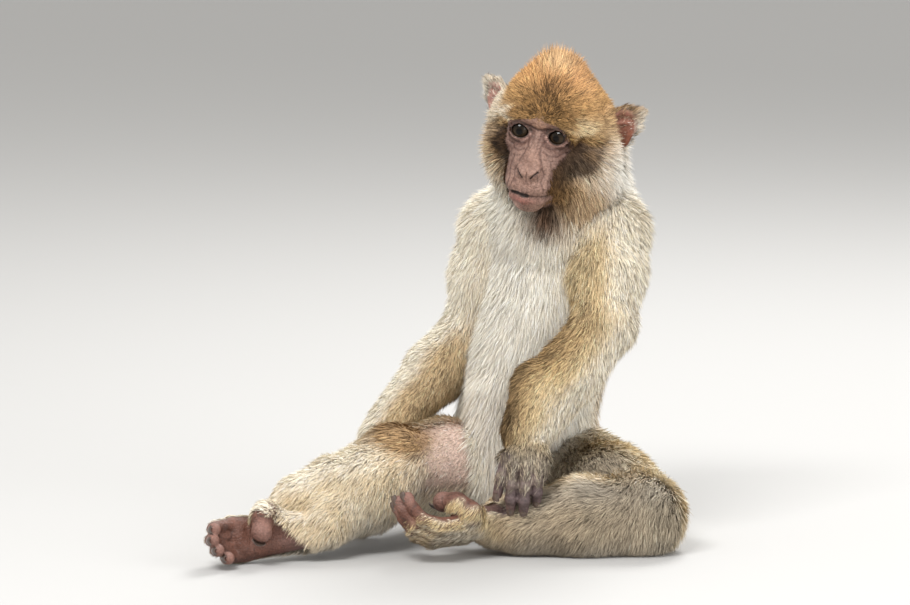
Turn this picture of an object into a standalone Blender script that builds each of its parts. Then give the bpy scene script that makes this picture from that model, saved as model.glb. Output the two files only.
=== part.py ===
"""A young Barbary macaque, life size, sitting on the floor as a still museum model.

The animal is built in five fused groups (trunk, two arms, two legs) and in separate groups for
the head, ears, hands and feet. Each group is a few rounded primitives fused by a voxel remesh,
and is then parted with thin plane cuts into the pieces a person would name.
Lengths in the tables are millimetres; the scene itself is in metres.

Frame: +Z up, the floor at Z = 0, -Y the way the animal looks, +X its left side. The tables count
from a point between the hips, and build() moves the whole animal to stand on the row's origin.
All radii include the depth of the coat.
"""

import math

import bmesh
import bpy
from mathutils import Matrix, Vector

MM = 0.001
GAP = 0.4  # between neighbouring pieces
FLOOR = Vector((0, 0, 0))
UP = Vector((0, 0, 1))

# ---------------------------------------------------------------- driving dimensions
TRUNK_HEADING = math.radians(-31)  # the chest looks to the animal's right of -Y
HEAD_YAW = math.radians(-19)
HEAD_PITCH = math.radians(6)
HEAD_ROLL = math.radians(9)
EYE_RADIUS = 9.4
EYE_SPACING = 32
DIGIT_RADIUS = 4.6
TRUNK_ROUND = 38  # half height of each ellipsoid of the trunk
NECK_RADII = (57, 51)

# Joint centres of the skeleton, in the row frame.
JOINTS = {
    "neck": (24, -12, 251),
    "nape": (23, -36, 295),
    "head": (18, -46, 321),
    "shoulder_L": (59, -32, 239),
    "elbow_L": (56, -68, 173),
    "wrist_L": (-5, -103, 88),
    "shoulder_R": (-22, 20, 233),
    "elbow_R": (-43, 26, 155),
    "wrist_R": (-117, -30, 79),
    "hip_L": (32, -6, 42),
    "knee_L": (84, -98, 29),
    "ankle_L": (-28, -112, 23),
    "hip_R": (-30, 10, 42),
    "knee_R": (-101, -75, 63),
    "ankle_R": (-171, -128, 23),
}

# The trunk from seat to shoulders: (X, Y, Z of the middle, half width, half depth).
TRUNK = (
    (4, 18, 33, 49, 44),
    (1, 15, 57, 52, 51),
    (-1, 8, 95, 52, 57),
    (6, 4, 133, 53, 60),
    (21, 5, 173, 60, 62),
    (28, 5, 205, 64, 60),
    (27, 2, 229, 61, 53),
    (24, -8, 247, 52, 47),
)

# What covers each long bone: (share of the way along the bone, radius).
UPPER_ARM = ((0.0, 32), (0.45, 29), (1.0, 25))
FOREARM = ((0.0, 26), (0.5, 26), (1.0, 21))
THIGH = ((0.0, 44), (0.5, 40), (1.0, 33))
SHIN = ((0.0, 34), (0.4, 37), (0.8, 31), (1.0, 25))

# Triangle budget of each group.
FACES = {
    "trunk": 1000,
    "head": 1500,
    "ear": 230,
    "arm": 420,
    "leg": 460,
    "hand": 700,
    "foot": 760,
}

COLOURS = {
    "pale_coat": (0.66, 0.58, 0.46),
    "gold_coat": (0.45, 0.31, 0.16),
    "tan_coat": (0.50, 0.39, 0.25),
    "skin": (0.22, 0.13, 0.10),
    "ear_skin": (0.38, 0.20, 0.14),
    "eye": (0.03, 0.018, 0.01),
}


def joint(name):
    return Vector(JOINTS[name])


HEADING = Matrix.Rotation(TRUNK_HEADING, 3, "Z")
HEAD_TURN = (
    Matrix.Rotation(HEAD_YAW, 3, "Z")
    @ Matrix.Rotation(HEAD_PITCH, 3, "X")
    @ Matrix.Rotation(HEAD_ROLL, 3, "Y")
)


# ---------------------------------------------------------------- modelling helpers
def ball(bm, centre, radii, turn=None, segments=24):
    """An ellipsoid. turn is the 3x3 rotation of its axes."""
    if not hasattr(radii, "__len__"):
        radii = (radii, radii, radii)
    place = Matrix.Translation(Vector(centre))
    if turn is not None:
        place = place @ turn.to_4x4()
    place = place @ Matrix.Diagonal((*radii, 1))
    bmesh.ops.create_uvsphere(
        bm, u_segments=segments, v_segments=segments // 2, radius=1, matrix=place
    )


def rod(bm, start, end, radius_start, radius_end, segments=20):
    """A tapered bone with round ends."""
    start, end = Vector(start), Vector(end)
    along = end - start
    place = Matrix.Translation((start + end) / 2) @ along.to_track_quat("Z", "Y").to_matrix().to_4x4()
    bmesh.ops.create_cone(
        bm,
        cap_ends=True,
        segments=segments,
        radius1=radius_start,
        radius2=radius_end,
        depth=along.length,
        matrix=place,
    )
    ball(bm, start, radius_start, segments=segments)
    ball(bm, end, radius_end, segments=segments)


def limb(bm, start, end, profile):
    """A bone covered by the profile's tapered lengths of muscle."""
    for (share_a, radius_a), (share_b, radius_b) in zip(profile, profile[1:]):
        rod(bm, start.lerp(end, share_a), start.lerp(end, share_b), radius_a, radius_b)


def chain(bm, points, radii, segments=12):
    """Tapered rods through a list of points, as in a finger."""
    for a, b, ra, rb in zip(points, points[1:], radii, radii[1:]):
        rod(bm, a, b, ra, rb, segments)


def fused(bm, name, voxel, rounds, faces):
    """One closed mesh from overlapping primitives: voxel remesh, smoothing and decimation."""
    mesh = bpy.data.meshes.new(name)
    bmesh.ops.scale(bm, vec=(MM, MM, MM), verts=bm.verts)
    bm.to_mesh(mesh)
    bm.free()
    draft = bpy.data.objects.new(name + "_draft", mesh)
    bpy.context.collection.objects.link(draft)
    remesh = draft.modifiers.new("Fuse", "REMESH")
    remesh.mode = "VOXEL"
    remesh.voxel_size = voxel * MM
    soften = draft.modifiers.new("Soften", "SMOOTH")
    soften.factor = 0.5
    soften.iterations = rounds
    bpy.context.view_layer.update()
    graph = bpy.context.evaluated_depsgraph_get()
    count = sum(len(p.vertices) - 2 for p in draft.evaluated_get(graph).data.polygons)
    thin = draft.modifiers.new("Thin", "DECIMATE")
    thin.ratio = min(1.0, faces / count)
    return taken(draft)


def taken(draft):
    """The evaluated mesh of an object as a bmesh. The object itself is removed."""
    bpy.context.view_layer.update()
    graph = bpy.context.evaluated_depsgraph_get()
    mesh = bpy.data.meshes.new_from_object(draft.evaluated_get(graph))
    bpy.data.objects.remove(draft)
    bm = bmesh.new()
    bm.from_mesh(mesh)
    bpy.data.meshes.remove(mesh)
    bmesh.ops.triangulate(bm, faces=bm.faces)
    return bm


def trimmed(bm, point, normal, gap=GAP / 2):
    """Cuts away what lies on the side that normal points to, and closes the flat."""
    normal = Vector(normal).normalized()
    cut = (Vector(point) - normal * gap) * MM
    found = bmesh.ops.bisect_plane(
        bm,
        geom=bm.verts[:] + bm.edges[:] + bm.faces[:],
        dist=1e-6,
        plane_co=cut,
        plane_no=normal,
        clear_outer=True,
    )
    rim = [e for e in found["geom_cut"] if isinstance(e, bmesh.types.BMEdge)]
    if rim:
        bmesh.ops.holes_fill(bm, edges=rim, sides=0)
    bmesh.ops.remove_doubles(bm, verts=bm.verts, dist=2e-6)
    bmesh.ops.triangulate(bm, faces=bm.faces)
    return keep_largest(bm)


def keep_largest(bm):
    """Removes the crumbs that a cut may leave beside the piece."""
    bm.verts.ensure_lookup_table()
    left, islands = set(bm.verts), []
    while left:
        island, edge = set(), [left.pop()]
        while edge:
            v = edge.pop()
            island.add(v)
            for e in v.link_edges:
                other = e.other_vert(v)
                if other in left:
                    left.remove(other)
                    edge.append(other)
        islands.append(island)
    biggest = max(islands, key=len)
    loose = [v for island in islands if island is not biggest for v in island]
    bmesh.ops.delete(bm, geom=loose, context="VERTS")
    return bm


def as_object(bm, name, origin=None):
    """Makes the piece an object whose origin is at its joint."""
    origin = Vector(origin) * MM if origin is not None else Vector()
    bmesh.ops.translate(bm, vec=-origin, verts=bm.verts)
    bmesh.ops.recalc_face_normals(bm, faces=bm.faces)
    mesh = bpy.data.meshes.new(name)
    bm.to_mesh(mesh)
    bm.free()
    mesh.shade_smooth()
    mesh.set_sharp_from_angle(angle=math.radians(50))
    obj = bpy.data.objects.new(name, mesh)
    obj.location = origin
    bpy.context.collection.objects.link(obj)
    return obj


def carved(bm, others):
    """bm less each of the other groups, grown by the gap so that nothing touches."""
    work = as_object(bm, "work")
    cutters = []
    for other in others:
        mesh = bpy.data.meshes.new("cutter")
        other.to_mesh(mesh)
        cutter = bpy.data.objects.new("cutter", mesh)
        bpy.context.collection.objects.link(cutter)
        grow = cutter.modifiers.new("Grow", "DISPLACE")
        grow.mid_level = 0.0
        grow.strength = GAP * MM
        cutter.hide_render = True
        cutters.append(cutter)
        cut = work.modifiers.new("Cut", "BOOLEAN")
        cut.operation = "DIFFERENCE"
        cut.solver = "EXACT"
        cut.object = cutter
    left = taken(work)
    for cutter in cutters:
        bpy.data.objects.remove(cutter)
    bmesh.ops.remove_doubles(left, verts=left.verts, dist=1e-5)
    bmesh.ops.dissolve_degenerate(left, edges=left.edges, dist=1e-5)
    bmesh.ops.triangulate(left, faces=left.faces)
    return keep_largest(left)


def split(bm, point, normal):
    """The two halves of a group on either side of a plane: before it, and past it."""
    past = bm.copy()
    return trimmed(bm, point, normal), trimmed(past, point, -Vector(normal))


# ---------------------------------------------------------------- trunk and neck
def neck_rods(bm):
    rod(bm, joint("neck"), joint("nape"), *NECK_RADII)
    rod(bm, joint("nape"), joint("head"), NECK_RADII[1], 42)


def trunk_group():
    """Ellipsoids close together along the spine, and the neck."""
    bm = bmesh.new()
    between = 4
    for low, high in zip(TRUNK, TRUNK[1:]):
        for k in range(between):
            *middle, width, depth = (a + (b - a) * k / between for a, b in zip(low, high))
            ball(bm, middle, (width, depth, TRUNK_ROUND), HEADING)
    *middle, width, depth = TRUNK[-1]
    ball(bm, middle, (width, depth, 30), HEADING)
    neck_rods(bm)
    return fused(bm, "trunk", 4.0, 10, FACES["trunk"])


# ---------------------------------------------------------------- head
def in_head(x, y, z):
    """A point of the head's own frame, whose origin lies between the ears."""
    return joint("head") + HEAD_TURN @ Vector((x, y, z))


def both_sides(x, y, z):
    return (in_head(-x, y, z), in_head(x, y, z))


def head_group():
    bm = bmesh.new()
    ball(bm, in_head(-1, 8, 5), (45, 52, 44), HEAD_TURN)  # cranium
    ball(bm, in_head(-2, 0, 31), (25, 30, 28), HEAD_TURN)  # crown tuft
    ball(bm, in_head(0, -13, 20), (34, 29, 24), HEAD_TURN)  # forehead
    ball(bm, in_head(0, -10, -10), (41, 32, 44), HEAD_TURN)  # face
    rod(bm, *both_sides(22, -34, 14), 8, 8)  # brow
    ball(bm, in_head(0, -22, -36), (31, 32, 23), HEAD_TURN)  # jaw
    ball(bm, in_head(0, -39, -34), (23, 23, 19), HEAD_TURN)  # muzzle
    ball(bm, in_head(0, -42, -47), (16, 15, 12), HEAD_TURN)  # chin
    rod(bm, in_head(0, -38, 6), in_head(0, -54, -22), 8, 9)  # bridge of the nose
    ball(bm, in_head(0, -58, -26), (10, 6, 6), HEAD_TURN)  # tip of the nose
    for centre in both_sides(27, -27, -12):  # cheekbones
        ball(bm, centre, (13, 13, 13), HEAD_TURN)
    for centre in both_sides(34, 0, -20):  # cheek ruff
        ball(bm, centre, (22, 28, 32), HEAD_TURN)
    neck_rods(bm)
    return fused(bm, "head", 2.2, 7, FACES["head"])


def eye_centres():
    return both_sides(EYE_SPACING / 2, -34, 3)


def ear_group(side):
    """A cupped ear: a rounded leaf with a raised rim. side is -1 for the right and 1 for the left."""
    bm = bmesh.new()
    root, tip = (34, 10, 2), (60, 15, 20)
    rim = [
        (34, 6, 16),
        (44, 6, 26),
        (56, 11, 27),
        (61, 15, 17),
        (58, 16, 4),
        (50, 14, -7),
        (38, 10, -11),
    ]
    place = [in_head(side * x, y, z) for x, y, z in rim]
    chain(bm, place, [4.5] * len(place))
    middle = (Vector(root) + Vector(tip)) / 2
    leaf_turn = HEAD_TURN @ Matrix.Rotation(side * math.radians(14), 3, "Z")
    centre = in_head(side * middle.x, middle.y + 3, middle.z - 2)
    ball(bm, centre, (15, 4.5, 18), leaf_turn)
    rod(bm, in_head(side * 30, 9, 2), in_head(side * 42, 11, 4), 12, 8)
    return fused(bm, "ear", 1.5, 3, FACES["ear"])


# ---------------------------------------------------------------- limbs
def limb_group(name, top, middle, end, first, second, faces):
    """A two-bone limb, which runs a little past its end so that the hand or foot joins flush."""
    bm = bmesh.new()
    top, middle, end = joint(top), joint(middle), joint(end)
    limb(bm, top, middle, first)
    limb(bm, middle, end, second)
    past = end + (end - middle).normalized() * 14
    rod(bm, end, past, second[-1][1], second[-1][1] - 1)
    return fused(bm, name, 3.2, 8, faces)


def bend_plane(top, middle, end):
    """The plane that halves a joint: its point, and its normal towards the limb's end."""
    inward = (joint(middle) - joint(top)).normalized()
    outward = (joint(end) - joint(middle)).normalized()
    return joint(middle), (inward + outward).normalized()


def digit(base, along, toward_palm, lengths, curls):
    """Joint points of a finger or toe. Each bone turns by its curl towards the palm."""
    points, angle = [base], 0.0
    for length, curl in zip(lengths, curls):
        angle += math.radians(curl)
        step = along * math.cos(angle) + toward_palm * math.sin(angle)
        points.append(points[-1] + step * length)
    return points


def frame_of(along, palm):
    """Unit vectors along a hand or foot and out of its palm, made square to each other."""
    along = Vector(along).normalized()
    palm = Vector(palm)
    palm = (palm - along * palm.dot(along)).normalized()
    return along, palm


# (place across the palm, distance from the wrist, lengths of the bones)
# (wrist, direction of the palm's length, direction its inside faces)
HAND_AIM = {
    "R": ("wrist_R", (-0.25, -0.1, -1), (0.2, -1, 0)),
    "L": ("wrist_L", (-0.1, -0.84, -0.55), (0, 0.55, -0.84)),
}
RIGHT_FINGERS = (
    (14, 36, (17, 12, 8), (2, 8, 8)),
    (4.8, 39, (19, 14, 9), (2, 8, 8)),
    (-4.8, 38, (18, 13, 9), (3, 8, 8)),
    (-14, 34, (14, 10, 8), (4, 8, 8)),
)
RIGHT_THUMB = (13, 16, (15, 11), (2, 8))
LEFT_FINGERS = (
    (7, 32, (15, 10, 7.5), (38, 28, 18)),
    (-4, 33, (15, 10.5, 7.5), (38, 28, 18)),
    (-14.5, 30, (12, 8.5, 6.5), (42, 28, 18)),
    (-18, 25, (12, 9, 7), (75, 45, 25)),
)
LEFT_THUMB = (11, 23, (16, 13), (30, 25))
TOES = (
    (11, 57, (17, 11, 9), (30, 40, 12)),
    (3, 59, (18, 12, 9), (30, 42, 12)),
    (-5, 57, (17, 11, 9), (30, 42, 12)),
    (-12, 52, (14, 10, 8), (30, 40, 12)),
)
BIG_TOE = (14, 42, (13, 14), (25, 50))


def hand_group(wrist, along, palm, side, reach, fingers, thumb):
    """A hand with four fingers and a thumb. side is -1 for the right and 1 for the left."""
    bm = bmesh.new()
    along, palm = frame_of(along, palm)
    across = palm.cross(along) * side
    start = joint(wrist)
    before = start - Vector(reach) * 14
    rod(bm, before, start, FOREARM[-1][1], FOREARM[-1][1] - 1)
    turn = Matrix((across, along, palm)).transposed()
    ball(bm, start + along * 24, (18, 26, 10), turn)
    for place, distance, lengths, curls in fingers:
        base = start + along * distance + across * place
        points = digit(base, along, palm, lengths, curls)
        chain(bm, [start + along * 10 + across * place * 0.5, *points], (8, 6, 5.4, 5, DIGIT_RADIUS))
    place, distance, lengths, curls = thumb
    base = start + along * distance + across * place
    outward = (along + across * 0.3).normalized()
    points = digit(base, outward, palm, lengths, curls)
    chain(bm, [start + along * 6, *points], (7, 6.5, 5.4, DIGIT_RADIUS))
    return fused(bm, "hand", 1.6, 3, FACES["hand"])


def foot_group(ankle, along, palm, side, reach):
    """A grasping foot: heel, long sole, four curled toes and the thumb-like big toe."""
    # As with the hand, side is -1 for the right and 1 for the left.
    bm = bmesh.new()
    along, palm = frame_of(along, palm)
    across = palm.cross(along) * side
    start = joint(ankle)
    before = start - Vector(reach) * 14
    rod(bm, before, start, SHIN[-1][1], SHIN[-1][1] - 1)
    turn = Matrix((across, along, palm)).transposed()
    ball(bm, start - along * 14 + palm * 8, (14, 14, 13), turn)
    ball(bm, start + along * 26 + palm * 6, (17, 42, 12), turn)
    for place, distance, lengths, curls in TOES:
        base = start + along * distance + across * place + palm * 6
        points = digit(base, along, palm, lengths, curls)
        heel = start + along * 20 + across * place * 0.6 + palm * 5
        chain(bm, [heel, *points], (10, 7, 6, 5.4, DIGIT_RADIUS))
    place, distance, lengths, curls = BIG_TOE
    base = start + along * distance + across * place + palm * 10
    outward = (along * 0.5 + palm).normalized()
    points = digit(base, outward, -across, lengths, curls)
    chain(bm, [start + along * 12 + palm * 6, *points], (12, 9.5, 8, 6.5))
    return fused(bm, "foot", 1.8, 3, FACES["foot"])


# ---------------------------------------------------------------- assembly
def finish(name, colour, roughness=0.8):
    material = bpy.data.materials.new(name)
    material.use_nodes = True
    shader = material.node_tree.nodes["Principled BSDF"]
    shader.inputs["Base Color"].default_value = (*COLOURS[colour], 1)
    shader.inputs["Roughness"].default_value = roughness
    shader.inputs["Metallic"].default_value = 0.0
    return material


def build():
    for obj in list(bpy.data.objects):
        bpy.data.objects.remove(obj)
    materials = {name: finish(name, name, 0.15 if name == "eye" else 0.8) for name in COLOURS}
    holder = bpy.data.objects.new("macaque", None)
    bpy.context.collection.objects.link(holder)

    def place(bm, name, origin, colour):
        obj = as_object(bm, name, origin)
        obj.data.materials.append(materials[colour])
        obj.parent = holder
        return obj

    # Trunk, neck and head share the neck's rods, so their outlines run through the cuts.
    throat, nape = in_head(0, -36, -60), in_head(0, 44, -22)
    head_side = (nape - throat).cross(HEAD_TURN @ Vector((-1, 0, 0)))
    trunk = trimmed(trunk_group(), FLOOR, -UP, 0)
    trunk = trimmed(trunk, throat, head_side)
    head = trimmed(head_group(), throat, -head_side)

    legs = {}
    for side in "RL":
        names = ("hip_" + side, "knee_" + side, "ankle_" + side)
        leg = limb_group("leg_" + side, *names, THIGH, SHIN, FACES["leg"])
        legs[side] = trimmed(leg, FLOOR, -UP, 0)
    arms = {}
    for side in "RL":
        names = ("shoulder_" + side, "elbow_" + side, "wrist_" + side)
        arms[side] = limb_group("arm_" + side, *names, UPPER_ARM, FOREARM, FACES["arm"])

    reach = {}
    for side in "RL":
        reach["hand_" + side] = (joint("wrist_" + side) - joint("elbow_" + side)).normalized()
        reach["foot_" + side] = (joint("ankle_" + side) - joint("knee_" + side)).normalized()
    hands = {
        "R": hand_group(*HAND_AIM["R"], -1, reach["hand_R"], RIGHT_FINGERS, RIGHT_THUMB),
        "L": hand_group(*HAND_AIM["L"], 1, reach["hand_L"], LEFT_FINGERS, LEFT_THUMB),
    }
    feet = {
        "R": foot_group("ankle_R", (-1, -0.25, -0.1), (0.1, -1, 0.15), -1, reach["foot_R"]),
        "L": foot_group("ankle_L", (-0.75, -0.65, -0.06), (-0.5, 0.35, 0.8), 1, reach["foot_L"]),
    }
    for side in "RL":
        feet[side] = trimmed(feet[side], FLOOR, -UP, 0)
        hands[side] = trimmed(hands[side], FLOOR, -UP, 0)

    # Each group gives way to those before it.
    legs["R"] = carved(legs["R"], [trunk])
    legs["L"] = carved(legs["L"], [trunk, legs["R"]])
    arms["R"] = carved(arms["R"], [trunk, legs["R"]])
    arms["L"] = carved(arms["L"], [trunk, head, legs["L"]])
    for side in "RL":
        ankle, knee = joint("ankle_" + side), joint("knee_" + side)
        wrist = joint("wrist_" + side)
        legs[side] = trimmed(legs[side], ankle, reach["foot_" + side])
        arms[side] = trimmed(arms[side], wrist, reach["hand_" + side])
        feet[side] = trimmed(feet[side], ankle, -reach["foot_" + side])
        hands[side] = trimmed(hands[side], wrist, -reach["hand_" + side])
        feet[side] = carved(feet[side], [legs["R"], legs["L"]])
        hands[side] = carved(hands[side], [legs["R"], legs["L"], feet[side]])

    # Eyes sit in open sockets, and the ears stand on the head.
    ears = {}
    for side, sign in (("R", -1), ("L", 1)):
        ears[side] = carved(ear_group(sign), [head])
    for side, centre in zip("RL", eye_centres()):
        bm = bmesh.new()
        ball(bm, centre * MM, [EYE_RADIUS * MM] * 3, segments=20)
        head = carved(head, [bm])
        place(bm, "eye_" + side, centre, "eye")

    trunk, neck = split(trunk, joint("neck"), joint("nape") - joint("neck"))
    place(trunk, "trunk", TRUNK[2][:3], "pale_coat")
    place(neck, "neck", joint("neck"), "pale_coat")
    place(head, "head", joint("head"), "gold_coat")
    for side in "RL":
        place(ears[side], "ear_" + side, joint("head"), "ear_skin")
        names = ("shoulder_" + side, "elbow_" + side, "wrist_" + side)
        upper, lower = split(arms[side], *bend_plane(*names))
        place(upper, "upper_arm_" + side, joint(names[0]), "tan_coat")
        place(lower, "forearm_" + side, joint(names[1]), "tan_coat")
        place(hands[side], "hand_" + side, joint(names[2]), "skin")
        names = ("hip_" + side, "knee_" + side, "ankle_" + side)
        upper, lower = split(legs[side], *bend_plane(*names))
        place(upper, "thigh_" + side, joint(names[0]), "tan_coat")
        place(lower, "shin_" + side, joint(names[1]), "pale_coat")
        place(feet[side], "foot_" + side, joint(names[2]), "skin")

    # The row's origin is under the middle of the whole animal.
    bpy.context.view_layer.update()
    points = [obj.matrix_world @ v.co for obj in holder.children for v in obj.data.vertices]
    for axis in (0, 1):
        along = [point[axis] for point in points]
        holder.location[axis] = -(min(along) + max(along)) / 2


build()
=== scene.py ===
"""The looks of a young Barbary macaque: one skin, its eyes and nails, and a coat of solid tufts.

The skin is the zero level of a field of blended forms (limbs, trunk, face, digits). It is meshed
once, made finer where the face, hands and feet need it, and painted by the same functions of place
that colour the coat. Lengths are millimetres until a mesh is made.

Frame of the tables: the part's own, +Z up, -Y the way the animal looks, +X its left, counted from a
point between the hips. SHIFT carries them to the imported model.
"""

import math

import bpy
import numpy as np
import openvdb
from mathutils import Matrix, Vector
from mathutils.kdtree import KDTree


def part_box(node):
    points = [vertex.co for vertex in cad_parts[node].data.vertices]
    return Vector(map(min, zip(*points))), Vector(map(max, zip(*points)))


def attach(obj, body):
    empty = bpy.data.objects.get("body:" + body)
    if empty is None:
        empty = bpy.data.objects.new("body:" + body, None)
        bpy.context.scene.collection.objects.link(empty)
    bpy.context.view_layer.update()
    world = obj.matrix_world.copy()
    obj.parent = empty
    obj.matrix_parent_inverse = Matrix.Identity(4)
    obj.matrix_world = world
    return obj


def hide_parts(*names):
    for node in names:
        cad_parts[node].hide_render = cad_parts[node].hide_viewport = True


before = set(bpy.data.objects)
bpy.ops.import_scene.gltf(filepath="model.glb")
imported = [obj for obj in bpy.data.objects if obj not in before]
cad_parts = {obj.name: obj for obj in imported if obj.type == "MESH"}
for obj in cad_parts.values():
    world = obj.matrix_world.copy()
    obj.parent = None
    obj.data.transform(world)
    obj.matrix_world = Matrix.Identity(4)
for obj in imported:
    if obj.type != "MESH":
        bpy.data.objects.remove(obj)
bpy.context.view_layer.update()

MM = 0.001
rng = np.random.default_rng(7)

# ---- skeleton
JOINTS = {
    "neck": (24, -12, 251),
    "nape": (23, -36, 295),
    "head": (18, -46, 321),
    "shoulder_L": (59, -32, 239),
    "elbow_L": (56, -68, 173),
    "wrist_L": (-5, -103, 88),
    "shoulder_R": (-22, 20, 233),
    "elbow_R": (-43, 26, 155),
    "wrist_R": (-117, -30, 79),
    "hip_L": (32, -6, 42),
    "knee_L": (84, -98, 29),
    "ankle_L": (-28, -112, 23),
    "hip_R": (-30, 10, 42),
    "knee_R": (-101, -75, 63),
    "ankle_R": (-171, -128, 23),
}
# Skin radii: (X, Y, Z of the middle, half width, half depth), seat to shoulders.
TRUNK = (
    (4, 18, 33, 41, 37),
    (1, 15, 57, 41, 41),
    (-1, 8, 95, 40, 45),
    (6, 4, 133, 41, 48),
    (21, 5, 173, 46, 49),
    (28, 5, 205, 49, 47),
    (27, 2, 229, 47, 41),
    (24, -8, 247, 38, 34),
)
TRUNK_STEPS = 4  # balls from one row of TRUNK to the next
# Skin radii: (share of the way along the bone, radius).
UPPER_ARM = ((0.0, 23), (0.45, 21), (1.0, 17.5))
FOREARM = ((0.0, 17.5), (0.4, 18), (1.0, 12))
THIGH = ((0.0, 36), (0.5, 33), (1.0, 25))
SHIN = ((0.0, 25), (0.4, 26), (0.8, 18), (1.0, 14))
EYE_RADIUS = 9.4
EYE_PLACE = (16.0, -34.0, 3.0)
TRUNK_HEADING = -31
# Lines of fuller fur: the belly's hair before the right thigh, the right ankle, the left wrist.
BELLY_FRINGE = ((-25, -30, 118), (-33, -45, 48))
ANKLE_FUR = ((-150, -105, 54), (-178, -118, 43), (-190, -124, 38))
WRIST_FUR = ((36, -80, 148), (7, -91, 126), (-7, -101, 97))


def turn(axis, degrees):
    c, s = math.cos(math.radians(degrees)), math.sin(math.radians(degrees))
    rows = {
        "x": ((1, 0, 0), (0, c, -s), (0, s, c)),
        "y": ((c, 0, s), (0, 1, 0), (-s, 0, c)),
        "z": ((c, -s, 0), (s, c, 0), (0, 0, 1)),
    }
    return np.array(rows[axis], float)


def unit(v):
    v = np.asarray(v, float)
    return v / np.maximum(np.linalg.norm(v, axis=-1, keepdims=True), 1e-9)


def joint(name):
    return np.array(JOINTS[name], float)


HEAD = joint("head")
HEAD_TURN = turn("z", -19) @ turn("x", 6) @ turn("y", 9)
HEADING = turn("z", TRUNK_HEADING)
BACKWARD = HEADING @ np.array([0, 1, 0.0])


def in_head(x, y, z):
    return HEAD + HEAD_TURN @ np.array([x, y, z], float)


def eye_middle(side):
    return in_head(side * EYE_PLACE[0], *EYE_PLACE[1:])


def box_middle(node):
    low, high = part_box(node)
    return (np.array(low) + np.array(high)) / 2


SHIFT = (box_middle("eye_L") + box_middle("eye_R")) / 2 - in_head(0, *EYE_PLACE[1:]) * MM


# ---- the field of forms
FORMS = []
REACH = 5.0  # how far beyond a form its distance still counts
FAR = 14.0  # the distance where no form reaches
CLUSTER = 20.0  # side of the cubes that field() takes its points by


def form(distance, low, high, blend, cut=False):
    """Adds a form by its distance function and the box that it fills."""
    margin = REACH + blend
    FORMS.append((distance, np.asarray(low, float) - margin, np.asarray(high, float) + margin, blend, cut))


def ball(centre, radii, axes=None, blend=6.0, cut=False):
    """An ellipsoid. The columns of axes are its directions."""
    centre = np.asarray(centre, float)
    radii = np.ones(3) * radii
    rows = (np.eye(3) if axes is None else axes).T / radii[:, None]

    def distance(x, y, z):
        near = tiny = 0.0
        for row, radius in zip(rows, radii):
            q = row[0] * (x - centre[0]) + row[1] * (y - centre[1]) + row[2] * (z - centre[2])
            near = near + q * q
            tiny = tiny + (q / radius) ** 2
        near = np.sqrt(near)
        return near * (near - 1) / np.maximum(np.sqrt(tiny), 1e-6)

    form(distance, centre - radii.max(), centre + radii.max(), blend, cut)


def rod(a, b, radius_a, radius_b, blend=6.0, cut=False):
    a, b = np.asarray(a, float), np.asarray(b, float)
    along = b - a
    square = along @ along

    def distance(x, y, z):
        q = x - a[0], y - a[1], z - a[2]
        t = np.clip((q[0] * along[0] + q[1] * along[1] + q[2] * along[2]) / square, 0, 1)
        away = sum((v - t * d) ** 2 for v, d in zip(q, along))
        return np.sqrt(away) - (radius_a + (radius_b - radius_a) * t)

    widest = max(radius_a, radius_b)
    form(distance, np.minimum(a, b) - widest, np.maximum(a, b) + widest, blend, cut)


def chain(points, radii, blend):
    for a, b, ra, rb in zip(points, points[1:], radii, radii[1:]):
        rod(a, b, ra, rb, blend)


def limb(a, b, profile, blend):
    """Rods from a to b, with the radii that the profile gives along the way."""
    for (share_a, radius_a), (share_b, radius_b) in zip(profile, profile[1:]):
        rod(a + (b - a) * share_a, a + (b - a) * share_b, radius_a, radius_b, blend)


def blended(old, new, blend, cut):
    """Smooth union, or smooth cut, of two distances."""
    old = -old if cut else old
    overlap = np.maximum(blend - np.abs(old - new), 0) / blend
    low = np.minimum(old, new) - overlap * overlap * blend / 4
    return -low if cut else low


def field(points):
    """Distances at many points, taken in clusters so that each form meets only the points near it."""
    lows, highs = np.array([f[1] for f in FORMS]), np.array([f[2] for f in FORMS])
    cell = np.floor(points / CLUSTER).astype(np.int64) @ np.array([1, 4096, 4096 * 4096])
    order = np.argsort(cell, kind="stable")
    starts = np.flatnonzero(np.diff(cell[order], prepend=cell[order[0]] - 1))
    value = np.full(len(points), FAR)
    for cluster in np.split(order, starts[1:]):
        near = points[cluster]
        local = np.full(len(cluster), FAR)
        meets = (lows < near.max(0)).all(1) & (highs > near.min(0)).all(1)
        for k in np.flatnonzero(meets):
            distance, low, high, blend, cut = FORMS[k]
            inside = ((near > low) & (near < high)).all(1)
            local[inside] = blended(local[inside], distance(*near[inside].T), blend, cut)
        value[cluster] = local
    return value


def field_grid(low, high, step):
    counts = np.ceil((high - low) / step).astype(int) + 1
    axes = [low[k] + step * np.arange(counts[k]) for k in range(3)]
    value = np.full(counts, FAR, np.float32)
    for distance, near, far, blend, cut in FORMS:
        first = np.clip(np.floor((near - low) / step).astype(int), 0, counts)
        last = np.clip(np.ceil((far - low) / step).astype(int) + 1, 0, counts)
        if (last <= first).any():
            continue
        part = tuple(slice(a, b) for a, b in zip(first, last))
        x, y, z = (axes[k][part[k]].astype(np.float32) for k in range(3))
        new = distance(x[:, None, None], y[None, :, None], z[None, None, :])
        value[part] = blended(value[part], new, blend, cut)
    return value


def slopes(points, step=0.25):
    """The field at each point, and its slope there."""
    moved = [points, *(points + np.eye(3)[k] * step for k in range(3))]
    value, *ahead = np.split(field(np.concatenate(moved)), 4)
    return value, np.stack([a - value for a in ahead], 1) / step


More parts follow.
